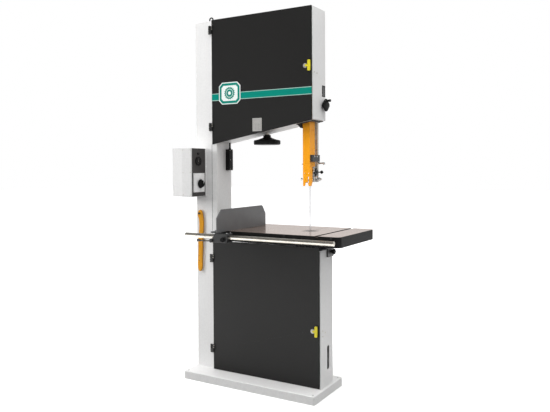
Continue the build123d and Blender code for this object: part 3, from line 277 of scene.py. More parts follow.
def steel(name, colour, rough, grain, metallic=1.0, stain=0.12, depth=0.0003):
    """Ground or drawn metal: fine lines along the grain, faint stains and scratches."""
    s = Shader(name)
    s.set(Metallic=metallic)
    lines = s.noise(1.0, 3.0, s.stretched(grain))
    blotch = s.noise(14.0, 4.0)
    tone = s.tone(blotch, colour, 1 - stain, 1 + stain * 0.6)
    s.feed(Base_Color=s.blend(0.7, tone, s.grey(lines, 0.82), "MULTIPLY"))
    s.feed(Roughness=s.remap(lines, rough - 0.06, rough + 0.12))
    s.bump((lines, 0.35, depth))
    return s.material


def moulded(name, colour, rough, grain=900.0, strength=0.3, drift=0.12, specular=0.5):
    """Moulded plastic or rubber: leathery spark-eroded grain and slight tone drift."""
    s = Shader(name)
    s.set(Specular_IOR_Level=specular)
    slow = s.noise(9.0, 3.0)
    fine = s.noise(grain, 3.0)
    tone = s.tone(slow, colour, 1 - drift, 1 + drift)
    s.feed(Base_Color=s.blend(0.5, tone, s.grey(fine, 0.8, 0.3, 0.6), "MULTIPLY"))
    s.feed(Roughness=s.remap(fine, rough - 0.07, rough + 0.10))
    s.bump((fine, strength, 0.0004), (s.noise(25.0, 2.0), 0.1, 0.0008))
    return s.material


def cast(name, colour, rough, specular=0.4):
    """Painted sand casting: lumpy skin with pinholes."""
    s = Shader(name)
    s.set(Specular_IOR_Level=specular)
    lumps = s.noise(160.0, 5.0, rough=0.65)
    pits = s.add("ShaderNodeTexVoronoi")
    pits.inputs["Scale"].default_value = 260.0
    s.link(s.coords, pits.inputs["Vector"])
    s.feed(Base_Color=s.tone(lumps, colour, 0.72, 1.2))
    s.feed(Roughness=s.remap(lumps, rough - 0.08, rough + 0.12))
    s.bump((lumps, 0.5, 0.0012), (pits.outputs["Distance"], 0.25, 0.0005))
    return s.material


def ground_table(name):
    """Cast table: ground bare top with fine cross marks, dark enamel on its sides and ribs."""
    s = Shader(name)
    s.set(Specular_IOR_Level=0.07)
    split = s.add("ShaderNodeSeparateXYZ")
    s.link(s.add("ShaderNodeTexCoord").outputs["Normal"], split.inputs[0])
    place = s.add("ShaderNodeSeparateXYZ")
    s.link(s.coords, place.inputs[0])
    top_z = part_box("table_top")[1].z
    facing = s.remap(split.outputs["Z"], 0.0, 1.0, 0.9, 0.97)
    high = s.remap(place.outputs["Z"], 0.0, 1.0, top_z - 0.011, top_z - 0.0095)
    ground = s.math("MULTIPLY", facing, high)
    marks = s.noise(1.0, 3.0, s.stretched((14.0, 900.0, 900.0)))
    cloud = s.noise(3.0, 4.0)
    mottled = s.noise(60.0, 4.0)
    bare = s.ramp(cloud, [(0.25, (0.42, 0.305, 0.25)), (0.75, (0.545, 0.415, 0.35))])
    bare = s.blend(0.35, bare, s.ramp(mottled, [(0.3, (0.86, 0.84, 0.82)), (0.65, (1, 1, 1))]), "MULTIPLY")
    bare = s.blend(0.4, bare, s.grey(marks, 0.88, 0.35, 0.65), "MULTIPLY")
    enamel = s.ramp(s.noise(70.0, 4.0), [(0.3, (0.008, 0.008, 0.008)), (0.7, (0.014, 0.0137, 0.0133))])
    s.feed(Base_Color=s.blend(ground, enamel, bare), Metallic=s.math("MULTIPLY", ground, 0.85))
    wear = s.math("ADD", s.math("MULTIPLY", marks, 0.6), s.math("MULTIPLY", mottled, 0.4))
    dull = s.math("MULTIPLY", s.math("SUBTRACT", 1.0, ground), 0.30)
    s.feed(Roughness=s.math("ADD", s.remap(wear, 0.12, 0.26), dull))
    s.bump((marks, 0.10, 0.0002), (s.noise(180.0, 4.0), 0.06, 0.0006))
    return s.material


def pale_floor(name):
    """Matt white floor that fades into the white surroundings away from the machine."""
    s = Shader(name)
    s.set(Specular_IOR_Level=0.1, Emission_Strength=0.8)
    grain = s.noise(60.0, 3.0)
    s.feed(Base_Color=s.ramp(grain, [(0.3, (0.90, 0.90, 0.90)), (0.7, (0.93, 0.93, 0.93))]))
    s.feed(Roughness=s.remap(grain, 0.7, 0.8))
    length = s.add("ShaderNodeVectorMath")
    length.operation = "LENGTH"
    s.link(s.coords, length.inputs[0])
    far = s.remap(length.outputs["Value"], 0.0, 1.0, 0.35, 1.9)
    s.feed(Emission_Color=s.ramp(far, [(0.0, (0, 0, 0)), (1.0, (1, 1, 1))]))
    s.bump((grain, 0.02, 0.0005))
    return s.material


def clear_pane(name):
    """Smoked polycarbonate."""
    s = Shader(name)
    s.set(Transmission_Weight=0.55, IOR=1.58)
    haze = s.noise(30.0, 4.0)
    s.feed(Base_Color=s.ramp(haze, [(0.3, (0.05, 0.05, 0.055)), (0.7, (0.09, 0.09, 0.095))]))
    s.feed(Roughness=s.remap(haze, 0.08, 0.2))
    s.bump((haze, 0.05, 0.0005))
    return s.material


def lens(name, colour):
    """Small moulded lamp lens."""
    s = Shader(name)
    s.set(Transmission_Weight=0.3, IOR=1.49)
    ripple = s.noise(500.0, 2.0)
    s.feed(Base_Color=s.tone(ripple, colour, 0.85, 1.0), Roughness=s.remap(ripple, 0.1, 0.2))
    s.bump((ripple, 0.2, 0.0005))
    return s.material


ENAMEL_GREY = (0.675, 0.672, 0.668)
CHARCOAL = (0.0094, 0.0092, 0.0089)

MATERIALS = {
    "floor": pale_floor("floor"),
    "frame_paint": painted("frame_paint", ENAMEL_GREY, 0.42, peel=0.16, wear=(0.52, 0.52, 0.51),
        drift=0.03),
    "door_paint": painted("door_paint", CHARCOAL, 0.50, peel=0.22, wear=(0.05, 0.05, 0.05), drift=0.06,
        specular=0.25),
    "black_steel": painted("black_steel", (0.013, 0.013, 0.013), 0.42, peel=0.2, wear=(0.10, 0.10, 0.10)),
    "teal": moulded("teal", (0.001, 0.225, 0.170), 0.45, grain=300.0, strength=0.04, drift=0.03,
        specular=0.12),
    "white_film": moulded("white_film", (0.80, 0.84, 0.82), 0.38, grain=300.0, strength=0.04, drift=0.02),
    "label_metal": steel("label_metal", (0.50, 0.49, 0.47), 0.42, (40.0, 900.0, 900.0), metallic=0.5),
    "pale_film": moulded("pale_film", (0.42, 0.62, 0.56), 0.40, grain=300.0, strength=0.04, drift=0.03),
    "label_grey": moulded("label_grey", (0.13, 0.125, 0.12), 0.45, grain=300.0, strength=0.05),
    "label_ink": moulded("label_ink", (0.16, 0.16, 0.16), 0.5, grain=600.0, strength=0.05),
    "yellow": moulded("yellow", (0.70, 0.60, 0.02), 0.33, grain=600.0, strength=0.12, drift=0.06),
    "cast_table": ground_table("cast_table"),
    "cast_grey": cast("cast_grey", (0.10, 0.105, 0.11), 0.55),
    "rubber": moulded("rubber", (0.022, 0.022, 0.022), 0.75, grain=500.0, strength=0.4, specular=0.3),
    "steel": steel("steel", (0.60, 0.57, 0.51), 0.27, (30.0, 700.0, 700.0)),
    "blade_steel": steel("blade_steel", (0.82, 0.82, 0.83), 0.18, (600.0, 600.0, 20.0)),
    "chrome": steel("chrome", (0.80, 0.80, 0.80), 0.13, (300.0, 300.0, 300.0), stain=0.05, depth=0.0001),
    "guard_paint": painted("guard_paint", (0.98, 0.385, 0.009), 0.40, peel=0.16, wear=(0.55, 0.20,
        0.02), drift=0.04, specular=0.22),
    "stick_plastic": moulded("stick_plastic", (0.68, 0.30, 0.015), 0.42, grain=400.0, strength=0.15,
        drift=0.06, specular=0.25),
    "black_plastic": moulded("black_plastic", (0.005, 0.005, 0.005), 0.5, specular=0.12),
    "fence_alu": steel("fence_alu", (0.125, 0.125, 0.127), 0.42, (500.0, 25.0, 500.0), metallic=0.35,
        stain=0.08),
    "motor_paint": painted("motor_paint", (0.045, 0.05, 0.055), 0.45, peel=0.3, wear=(0.2, 0.2, 0.2)),
    "belt_rubber": moulded("belt_rubber", (0.015, 0.015, 0.015), 0.7, grain=350.0, strength=0.5,
        specular=0.3),
    "panel_dark": moulded("panel_dark", (0.026, 0.023, 0.022), 0.5, grain=700.0, strength=0.12),
    "panel_light": steel("panel_light", (0.86, 0.86, 0.86), 0.42, (500.0, 30.0, 500.0), metallic=0.15),
    "insert_plastic": steel("insert_plastic", (0.22, 0.19, 0.175), 0.38, (400.0, 30.0, 400.0),
        metallic=0.6),
    "smoked_pane": clear_pane("smoked_pane"),
    "lamp_lens": lens("lamp_lens", (0.75, 0.75, 0.72)),
}

# Slot of each CAD node, and the width of its rounded edges where it has them.
NODE_FINISH = {row["node"]: row["material_slot"] for row in frame["record"]["subparts"]}
BEVELS_MM = {
    "column": 1.6, "upper_housing": 1.6, "lower_housing": 1.6, "motor_plate": 1.5,
    "upper_door": 0.9, "lower_door": 0.9, "door_plates": 0.25, "upper_latch": 1.2, "lower_latch": 1.2,
    "hinge_leaves": 0.8, "upper_wheel": 2.0, "lower_wheel": 2.0, "wheel_carriage": 1.5,
    "tension_rails": 1.5,
    "guide_post": 0.5, "post_socket": 1.5, "clamp_block": 1.0, "guide_bracket": 1.2,
    "side_guides": 0.5, "guide_nuts": 0.6, "guard_lever": 0.9, "table_top": 1.2,
    "trunnions": 2.0, "trunnion_cradle": 2.0, "table_insert": 0.5, "fence_bracket": 1.0,
    "fence_plate": 1.2, "fence_lever": 1.0, "control_enclosure": 1.5, "control_panel": 0.9,
    "selector_plate": 0.4, "panel_gauges": 0.7, "tilt_bracket": 1.2, "tension_handwheel": 1.0, "motor": 1.0,
    "lower_bearing": 1.5, "lower_shaft": 1.2, "lower_pulley": 0.8, "motor_pulley": 0.8,
    "lifting_eye": 0.5, "frame_screws": 0.6,
}
BEVEL_ANGLE = radians(42)


def finish_nodes():
    """Gives every CAD node its material and softly rounded edges."""
    for name, obj in NODES.items():
        obj.data.materials.clear()
        obj.data.materials.append(MATERIALS[NODE_FINISH[name]])
        if name not in BEVELS_MM:
            continue
        weld = obj.modifiers.new("weld", "WELD")
        weld.merge_threshold = 0.00001
        bevel = obj.modifiers.new("bevel", "BEVEL")
        bevel.width = BEVELS_MM[name] * MM
        bevel.segments = 2
        bevel.limit_method = "ANGLE"
        bevel.angle_limit = BEVEL_ANGLE
        bevel.use_clamp_overlap = True
        bevel.miter_outer = "MITER_ARC"
        normals = obj.modifiers.new("normals", "WEIGHTED_NORMAL")
        normals.keep_sharp = False


# ------------------------------------------------------------------ mesh tools

def hexagon(angle):
    return cos(pi / 6) / cos(angle % (pi / 3) - pi / 6)


def knurled(angle):
    return 1.0 - 0.05 * (round(angle * 24 / pi) % 2)


def lobed(count, depth):
    """Radius factor of a star with round lobes, the first of them at angle zero."""
    return lambda angle: 1.0 - depth * (1 - cos(count * angle)) / 2


def corners_mm(node):
    """Lowest and highest corner of a CAD node, in millimetres."""
    low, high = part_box(node)
    return Vector(low) / MM, Vector(high) / MM


def middle_mm(node):
    low, high = corners_mm(node)
    return (low + high) / 2


class Part:
    """A mesh under construction, in millimetres of the CAD frame."""

    def __init__(self):
        self.mesh = bmesh.new()

    def ring(self, points):
        return [self.mesh.verts.new(Vector(point) * MM) for point in points]

    def skin(self, first, second):
        """Faces between two rings; a ring of one vertex closes to a point."""
        count = max(len(first), len(second))
        for index in range(count):
            following = (index + 1) % count
            corners = [
                first[index % len(first)], first[following % len(first)],
                second[following % len(second)], second[index % len(second)],
            ]
            corners = list(dict.fromkeys(corners))
            if len(corners) > 2:
                self.mesh.faces.new(corners)

    def loft(self, rings, loop=False):
        """Skin through several rings, joined end to end or capped."""
        for first, second in zip(rings, rings[1:]):
            self.skin(first, second)
        if loop:
            self.skin(rings[-1], rings[0])
            return
        for end in (rings[0], rings[-1]):
            if len(end) > 2:
                self.mesh.faces.new(end)

    def box(self, low, high):
        (x0, y0, z0), (x1, y1, z1) = low, high
        self.loft([self.ring([(x0, y0, z), (x1, y0, z), (x1, y1, z), (x0, y1, z)]) for z in (z0, z1)])

    def lathe(self, place, axis, profile, steps=24):
        """Turned shape; profile holds (radius, distance along the axis), and a radius factor if not round."""
        place, axis, side, up = axes(place, axis)
        rings = []
        for radius, along, *shape in profile:
            centre = place + axis * along
            if radius == 0:
                rings.append(self.ring([centre]))
                continue
            points = []
            for index in range(steps):
                angle = 2 * pi * index / steps
                reach = radius * shape[0](angle) if shape else radius
                points.append(centre + (side * cos(angle) + up * sin(angle)) * reach)
            rings.append(self.ring(points))
        self.loft(rings)

    def prism(self, place, axis, outline, depth, hole=None):
        """Outline given across the axis, raised along it, with an opening of as many points if asked."""
        place, axis, side, up = axes(place, axis)
        levels = []
        for along in (0, depth):
            levels.append([
                self.ring([place + axis * along + side * u + up * v for u, v in loop])
                for loop in (outline, hole) if loop
            ])
        (bottom, *bottom_hole), (top, *top_hole) = levels
        if hole:
            self.loft([bottom, top, top_hole[0], bottom_hole[0]], loop=True)
        else:
            self.loft([bottom, top])

    def spoke(self, place, axis, turn, reach, half, levels):
        """Bar that points away from an axis, between two distances from it and two levels along it."""
        place, axis, side, up = axes(place, axis)
        out, across = side * cos(turn) + up * sin(turn), up * cos(turn) - side * sin(turn)
        near, far = reach
        self.loft([
            self.ring([
                place + axis * level + out * distance + across * shift
                for distance, shift in ((near, -half), (far, -half), (far, half), (near, half))
            ]) for level in levels
        ])

    def tube(self, points, radius, steps=8, ripple=0.0):
        """Round bar along a path; ripple swells and thins it as a weld bead does."""
        points = [Vector(point) for point in points]
        rings = []
        for index, point in enumerate(points):
            ahead = points[min(index + 1, len(points) - 1)] - points[max(index - 1, 0)]
            _, _, side, up = axes(point, ahead)
            reach = radius * (1 + ripple * (index % 2))
            rings.append(self.ring([
                point + (side * cos(2 * pi * k / steps) + up * sin(2 * pi * k / steps)) * reach
                for k in range(steps)
            ]))
        self.loft(rings)

    def finish(self, name, body, finish, bevel=0.0, smooth=38.0):
        """Makes the object, its rounded edges and its material, and lets it ride on a body."""
        bmesh.ops.recalc_face_normals(self.mesh, faces=self.mesh.faces)
        data = bpy.data.meshes.new(name)
        self.mesh.to_mesh(data)
        self.mesh.free()
        data.shade_smooth()
        data.set_sharp_from_angle(angle=radians(smooth))
        data.materials.append(MATERIALS[finish])
        piece = bpy.data.objects.new(name, data)
        SCENE.collection.objects.link(piece)
        if bevel:
            rounding = piece.modifiers.new("bevel", "BEVEL")
            rounding.width = bevel * MM
            rounding.segments = 2
            rounding.limit_method = "ANGLE"
            rounding.angle_limit = radians(smooth)
            rounding.harden_normals = True
        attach(piece, body)
        return piece


def axes(place, axis):
    """Place, unit axis and two directions across it; across X these are Y and Z, across -Y X and Z."""
    axis = Vector(axis).normalized()
    upright = abs(axis.z) > 0.999
    side = X_AXIS.copy() if upright else Z_AXIS.cross(axis).normalized()
    return Vector(place), axis, side, axis.cross(side)


def turned(name, body, finish, place, axis, profile, steps=24, **look):
    """A piece that is one turned shape."""
    part = Part()
    part.lathe(place, axis, profile, steps)
    return part.finish(name, body, finish, **look)


def block(name, body, finish, low, high, **look):
    """A piece that is one box."""
    part = Part()
    part.box(low, high)
    return part.finish(name, body, finish, **look)


def raised(name, body, finish, place, axis, outline, depth, hole=None, **look):
    """A piece that is one outline, raised along an axis."""
    part = Part()
    part.prism(place, axis, outline, depth, hole)
    return part.finish(name, body, finish, **look)


def rectangle(x0, x1, y0, y1):
    return [(x0, y0), (x1, y0), (x1, y1), (x0, y1)]


def cut_rectangle(x0, x1, y0, y1, cut):
    """Rectangle with its four corners cut off."""
    return [
        (x0 + cut, y0), (x1 - cut, y0), (x1, y0 + cut), (x1, y1 - cut),
        (x1 - cut, y1), (x0 + cut, y1), (x0, y1 - cut), (x0, y0 + cut),
    ]


SCREW_HEADS = {
    "socket": lambda r, h: [
        (0, h * 0.4), (r * 0.5, h * 0.4, hexagon), (r * 0.5, h, hexagon),
        (r * 0.86, h), (r, h * 0.84), (r, -0.4),
    ],
    "button": lambda r, h: [
        (0, h * 0.4), (r * 0.42, h * 0.4, hexagon), (r * 0.42, h * 0.98, hexagon),
        (r * 0.6, h * 0.94), (r * 0.85, h * 0.66), (r, h * 0.15), (r, -0.4),
    ],
    "hex": lambda r, h: [
        (0, h), (r * 0.8, h), (r * 0.95, h * 0.9, hexagon), (r, h * 0.78, hexagon), (r, h * 0.22, hexagon),
        (r * 1.02, h * 0.22), (r * 1.35, h * 0.2), (r * 1.4, h * 0.12), (r * 1.4, -0.4),
    ],
    "rivet": lambda r, h: [(0, h), (r * 0.5, h * 0.9), (r * 0.85, h * 0.5), (r, 0), (r, -0.4)],
}


def screws(name, body, finish, kind, radius, height, axis, places):
    """A set of like screw heads that stand on a surface."""
    part = Part()
    for place in places:
        part.lathe(place, axis, SCREW_HEADS[kind](radius, height))
    return part.finish(name, body, finish)


def bolt_circle(place, radius, count, start=0.0):
    """Places on a circle about an axis along Y."""
    x, y, z = place
    turns = [start + 2 * pi * index / count for index in range(count)]
    return [(x + radius * cos(turn), y, z + radius * sin(turn)) for turn in turns]


# ------------------------------------------------------------------ places taken from the frame

DOOR_FACE = corners_mm("door_stripe")[1].y
WALL_RIGHT = corners_mm("upper_housing")[1].x
CABINET_LOW, CABINET_HIGH = corners_mm("lower_housing")
COLUMN_LOW, COLUMN_HIGH = corners_mm("column")
TABLE_LOW, TABLE_HIGH = corners_mm("table_top")
UPPER_HUB, LOWER_HUB = middle_mm("upper_tyre"), middle_mm("lower_tyre")
HEIGHT_SHAFT = (60, 1719)
TILT_SHAFT = (66, 843)
MOTOR_X, MOTOR_Z, MOTOR_RADIUS = -38, 237, 92
STICK_X = -421
HINGE_FEET = {"upper_door": (2201, 1583), "lower_door": (742, 161)}
HINGE_X, HINGE_Y = -327, -83
LOCKS = {"upper": (359, 1942), "lower": (401, 389)}


def underside(x):
    """Height of the upper housing's slanted underside at x."""
    low, high = 1497, 1625
    left, right = corners_mm("door_stripe")[0].x, corners_mm("door_stripe")[1].x
    return low + 3 + (x - left) * (high - low) / (right - left)


# ------------------------------------------------------------------ doors and latches

def stripe_borders():
    """Pale line along either edge of the stripe."""
    low, high = corners_mm("door_stripe")
    width = 3.2
    part = Part()
    for z in (low.z, high.z - width):
        part.box((low.x, low.y - 0.25, z), (high.x, low.y + 0.1, z + width))
    part.finish("stripe_borders", "upper_door", "pale_film")


def badge():
    """Generic badge: rimmed octagon with a toothed saw disc, no lettering."""
    low, high = corners_mm("door_plates")
    x0, x1, z0, z1 = low.x, -96.0, high.z - 138, high.z
    face = low.y
    for name, inset, rise, finish in (
        ("badge_rim", 0.6, 0.5, "white_film"), ("badge_field", 6, 0.8, "teal"),
        ("badge_edge", 21, 1.0, "white_film"),
    ):
        outline = cut_rectangle(x0 + inset, x1 - inset, z0 + inset, z1 - inset, 24 - inset * 0.5)
        raised(name, "upper_door", finish, (0, face + 0.2, 0), -Y_AXIS, outline, rise + 0.2)
    centre = ((x0 + x1) / 2, face - 0.8, (z0 + z1) / 2)
    teeth, reach = 18, 41
    outline = []
    for index in range(teeth):
        for share, radius in ((0.0, reach), (0.16, reach), (0.34, reach * 0.86), (0.9, reach * 0.9)):
            turn = 2 * pi * (index + share) / teeth
            outline.append((radius * cos(turn), radius * sin(turn)))
    raised("badge_disc", "upper_door", "teal", centre, -Y_AXIS, outline, 0.6)
    hub = Part()
    hub.lathe(centre, -Y_AXIS, [(11, 0.5), (11, 0.8), (9, 0.9), (0, 0.9)])
    hub.lathe(centre, -Y_AXIS, [(27, 0.5), (27, 0.8), (24, 0.8), (24, 0.5)], 48)
    hub.finish("badge_hub", "upper_door", "white_film")


def rating_plate_details():
    """Rivets and blank ruled fields of the rating plate."""
    x0, x1, z0, z1 = -9, 57, 1571, 1651
    face = DOOR_FACE - 1
    places = [(x, face, z) for x in (x0 + 4, x1 - 4) for z in (z0 + 4, z1 - 4)]
    screws("rating_plate_rivets", "upper_door", "steel", "rivet", 1.8, 0.9, -Y_AXIS, places)
    part = Part()
    part.prism(
        (0, face + 0.1, 0), -Y_AXIS, rectangle(x0 + 8, x1 - 8, z0 + 8, z1 - 8), 0.35,
        rectangle(x0 + 9, x1 - 9, z0 + 9, z1 - 9),
    )
    for row in range(1, 8):
        z = z0 + 8 + row * 8
        part.box((x0 + 9, face - 0.25, z), (x1 - 9, face + 0.1, z + 0.9))
    for x in (14, 36):
        part.box((x, face - 0.25, z0 + 9), (x + 0.9, face + 0.1, z0 + 48))
    part.finish("rating_plate_lines", "upper_door", "label_ink")


def door_locks():
    """Chrome cylinder with a key slot in the middle of each latch; the slot is a dark plate and disc painted
    as the shade inside the recess.
    """
    for door, (x, z) in LOCKS.items():
        face = DOOR_FACE - 0.3
        turned(f"{door}_lock", f"{door}_latch", "label_metal", (x, face, z), -Y_AXIS, [
            (12.4, 0.2), (13.4, 0.6), (13.4, 4.8), (12.2, 6.4), (10.4, 6.6), (10.0, 5.8),
            (8.6, 5.8), (8.2, 6.4), (0, 6.5),
        ], 36)
        # Painted shade: the dark plate and disc stand in for the shade inside the key slot.
        slot = Part()
        slot.box((x - 0.9, face - 6.75, z - 5), (x + 0.9, face - 6, z + 5))
        slot.lathe((x, face - 6, z), -Y_AXIS, [(2.6, 0), (2.6, 0.75), (0, 0.75)], 16)
        slot.finish(f"{door}_lock_keyway_shade", f"{door}_latch", "black_steel")


def latch_ribs():
    """Grip ribs moulded along the bar handles."""
    for door in ("upper", "lower"):
        low, high = corners_mm(f"{door}_latch")
        middle = (low.z + high.z) / 2
        part = Part()
        for index in range(-4, 5):
            place = (high.x - 8.5, low.y + 0.6, middle + index * 5.2)
            part.lathe(place, -Y_AXIS, [(0, 0.7), (1.0, 0.65), (1.2, 0)], 10)
        part.finish(f"{door}_latch_grip", f"{door}_latch", "yellow")


def hinge_details():
    """Screws of both hinge leaves, and a cap on each pin."""
    for door, feet in HINGE_FEET.items():
        leaf, fixed, caps = [], [], Part()
        for foot in feet:
            leaf += [(-312, HINGE_Y + 1, foot + z) for z in (31, 44)]
            fixed += [(HINGE_X - 9.5, HINGE_Y + 3, foot + z) for z in (8, 25, 42)]
            caps.lathe((HINGE_X, HINGE_Y, foot + 50), Z_AXIS, [(5.4, 0), (5.4, 0.8), (3.6, 2.2), (0, 2.4)])
        screws(f"{door}_hinge_screws", door, "steel", "button", 3.4, 1.6, -Y_AXIS, leaf)
        screws(f"{door}_leaf_screws", "frame", "steel", "button", 2.1, 1.0, -Y_AXIS, fixed)
        caps.finish(f"{door}_hinge_caps", "frame", "black_steel")


def door_stiffeners():
    """Folded channels welded inside each door's pan, and a foam strip along its edge."""
    inner = DOOR_FACE + 3
    spans = {
        "upper_door": (lambda x: underside(x) + 18, 2270),
        "lower_door": (lambda x: CABINET_LOW.z + 16, CABINET_HIGH.z - 16),
    }
    for door, (bottom, top) in spans.items():
        part = Part()
        right = corners_mm(door)[1].x
        for share in (0.3, 0.7):
            x = -300 + (right + 300) * share
            part.box((x - 16, inner - 0.5, bottom(x + 24)), (x + 16, inner + 9, top))
            part.box((x - 26, inner - 0.5, bottom(x + 30)), (x + 26, inner + 1.5, top))
        part.finish(f"{door}_stiffeners", door, "door_paint", bevel=1.2)
        left, right = -302.5, right - 10.5
        path = [(left, bottom(left) - 6), (right, bottom(right) - 6), (right, top + 6), (left, top + 6)]
        inset = [
            (left + 4, path[0][1] + 4), (right - 4, path[1][1] + 4), (right - 4, top + 2),
            (left + 4, top + 2),
        ]
        raised(f"{door}_foam", door, "rubber", (0, inner + 21, 0), -Y_AXIS, path, 3.2, inset, bevel=0.8)


# ------------------------------------------------------------------ housings and column

def guard_seal():
    """Rubber collar round the opening that the guard and its post run through."""
    outer = [(279, -44), (392, -44), (392, 92), (279, 92)]
    inner = [(300, -24), (371, -24), (371, 88), (300, 88)]
    part = Part()
    rings = []
    for loop, drop in ((outer, 0), (outer, 4), (inner, 4), (inner, 0)):
        rings.append(part.ring([(x, y, underside(x) - drop + 0.2) for x, y in loop]))
    part.loft(rings, loop=True)
    part.finish("guard_seal", "frame", "rubber", bevel=0.8)
    brush = Part()
    for index in range(28):
        y = -22 + index * 3.9
        z = underside(300)
        brush.tube([(299, y, z + 2), (303, y + 0.5, z - 4), (305, y + 1.0, z - 13)], 0.9, 6)
    brush.finish("guard_brush", "frame", "rubber")


def side_window():
    """Smoked window in the right wall, through which the blade tension is read."""
    low, high = (WALL_RIGHT - 2.5, 50.4, 1774.4), (WALL_RIGHT + 0.4, 83.6, 1833.6)
    block("side_window_pane", "frame", "smoked_pane", low, high, bevel=0.4)
    outer, inner = cut_rectangle(46.5, 87.5, 1770.5, 1837.5, 2), cut_rectangle(51.5, 82.5, 1775.5, 1832.5, 1)
    place = (WALL_RIGHT - 0.4, 0, 0)
    raised("side_window_rim", "frame", "black_plastic", place, X_AXIS, outer, 1.8, inner, bevel=0.5)


def pinion_flange():
    """Bearing flange of the height handwheel on the right wall."""
    profile = [(4.7, 0.3), (16, 0.3), (16, -0.5), (4.7, -0.5)]
    turned("pinion_washer", "frame", "steel", (WALL_RIGHT - 0.3, *HEIGHT_SHAFT), X_AXIS, profile, 32)


def weld_beads():
    """Fillet welds where the column and the cabinet stand on the plinth."""
    floor = CABINET_LOW.z + 0.4
    runs = (
        ((CABINET_HIGH.x + 0.6, -70), (CABINET_HIGH.x + 0.6, CABINET_HIGH.y - 2)),
        ((COLUMN_LOW.x - 0.6, -49), (COLUMN_LOW.x - 0.6, COLUMN_HIGH.y - 2)),
        ((COLUMN_LOW.x + 2, -51.8), (-324, -73.4)),
        ((-280, CABINET_HIGH.y + 0.6), (CABINET_HIGH.x - 2, CABINET_HIGH.y + 0.6)),
        ((COLUMN_LOW.x + 2, COLUMN_HIGH.y + 0.6), (-290, COLUMN_HIGH.y + 0.6)),
    )
    part = Part()
    for start, end in runs:
        start, end = Vector((*start, floor)), Vector((*end, floor))
        count = int((end - start).length / 4)
        part.tube([start.lerp(end, step / count) for step in range(count + 1)], 2.6, 8, 0.22)
    part.finish("weld_beads", "frame", "frame_paint", smooth=60)


def column_cover():
    """Screwed cover over the wiring hole in the column's back."""
    back = COLUMN_HIGH.y
    x0, x1, z0, z1 = -420, -330, 1180, 1420
    outline = cut_rectangle(-x1, -x0, z0, z1, 6)
    raised("column_cover", "frame", "frame_paint", (0, back - 0.3, 0), Y_AXIS, outline, 2.3, bevel=0.6)
    places = [(x, back + 2, z) for x in (x0 + 9, x1 - 9) for z in (z0 + 9, (z0 + z1) / 2, z1 - 9)]
    screws("column_cover_screws", "frame", "steel", "button", 3.6, 1.9, Y_AXIS, places)


# ------------------------------------------------------------------ wheels, blade and drive

def toothed_blade():
    """Endless blade with raked teeth along its front edge, set left and right in turn."""
    low, high = corners_mm("saw_blade")
    thick, pitch, set_out = 0.8, 8.0, 0.22
    inner = (high.x - low.x) / 2 - thick
    centre_x = (high.x + low.x) / 2
    straight = UPPER_HUB.z - LOWER_HUB.z
    length = 2 * straight + 2 * pi * inner
    teeth = int(length / pitch)
    samples = []
    for index in range(teeth):
        for share, depth in ((0.0, 0.0), (0.25, 2.6), (0.62, 2.2)):
            samples.append(((index + share) * length / teeth, depth, index))
    part = Part()
    rings = []
    for distance, depth, index in samples:
        spot, out = loop_point(distance, inner, centre_x, straight)
        lean = set_out * (index % 3 - 1) if depth == 0.0 else 0.0
        front, back = low.y + depth, high.y
        middle = front + 4
        stations = ((back, 0.0), (middle, 0.0), (front, lean))
        points = [spot + out * shift + Y_AXIS * y for y, shift in stations]
        points += [spot + out * (thick + shift) + Y_AXIS * y for y, shift in reversed(stations)]
        rings.append(part.ring(points))
    part.loft(rings, loop=True)
    blade = part.finish("toothed_blade", "frame", "blade_steel", smooth=30)
    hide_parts("saw_blade")


def loop_point(distance, radius, centre_x, straight):
    """Point on the band's inner line, and the outward direction there."""
    half_turn = pi * radius
    if distance < straight:
        return Vector((centre_x + radius, 0, LOWER_HUB.z + distance)), X_AXIS
    distance -= straight
    if distance < half_turn:
        out = X_AXIS * cos(distance / radius) + Z_AXIS * sin(distance / radius)
        return Vector((centre_x, 0, UPPER_HUB.z)) + out * radius, out
    distance -= half_turn
    if distance < straight:
        return Vector((centre_x - radius, 0, UPPER_HUB.z - distance)), -X_AXIS
    distance -= straight
    out = -X_AXIS * cos(distance / radius) - Z_AXIS * sin(distance / radius)
    return Vector((centre_x, 0, LOWER_HUB.z)) + out * radius, out


def wheel_details():
    """Hub screws, bearing shield and axle nuts of the two wheels."""
    for name, hub in (("upper", UPPER_HUB), ("lower", LOWER_HUB)):
        face = corners_mm(f"{name}_wheel")[0].y
        body = f"{name}_wheel"
        places = bolt_circle((hub.x, face, hub.z), 43, 6, pi / 6)
        screws(f"{name}_hub_screws", body, "steel", "socket", 4.6, 4.5, -Y_AXIS, places)
        rim = Part()
        for place in bolt_circle((hub.x, face, hub.z), 307, 3, pi / 2):
            rim.lathe(place, -Y_AXIS, SCREW_HEADS["hex"](5, 3))
        rim.finish(f"{name}_balance_weights", body, "steel")
    x, z = UPPER_HUB.x, UPPER_HUB.z
    profile = [(32.5, -0.5), (32.5, 1.0), (31, 1.6), (27, 0.9), (25.2, 0.9), (25.2, -0.5)]
    place = (x, corners_mm("upper_wheel")[0].y, z)
    turned("bearing_shield", "upper_wheel", "rubber", place, -Y_AXIS, profile, 40)
    screws("axle_nut", "wheel_slide", "steel", "hex", 14, 10, -Y_AXIS, [(x, -18, z)])
    screws("shaft_nut", "lower_wheel", "steel", "hex", 17, 11, -Y_AXIS, [(LOWER_HUB.x, -22, LOWER_HUB.z)])


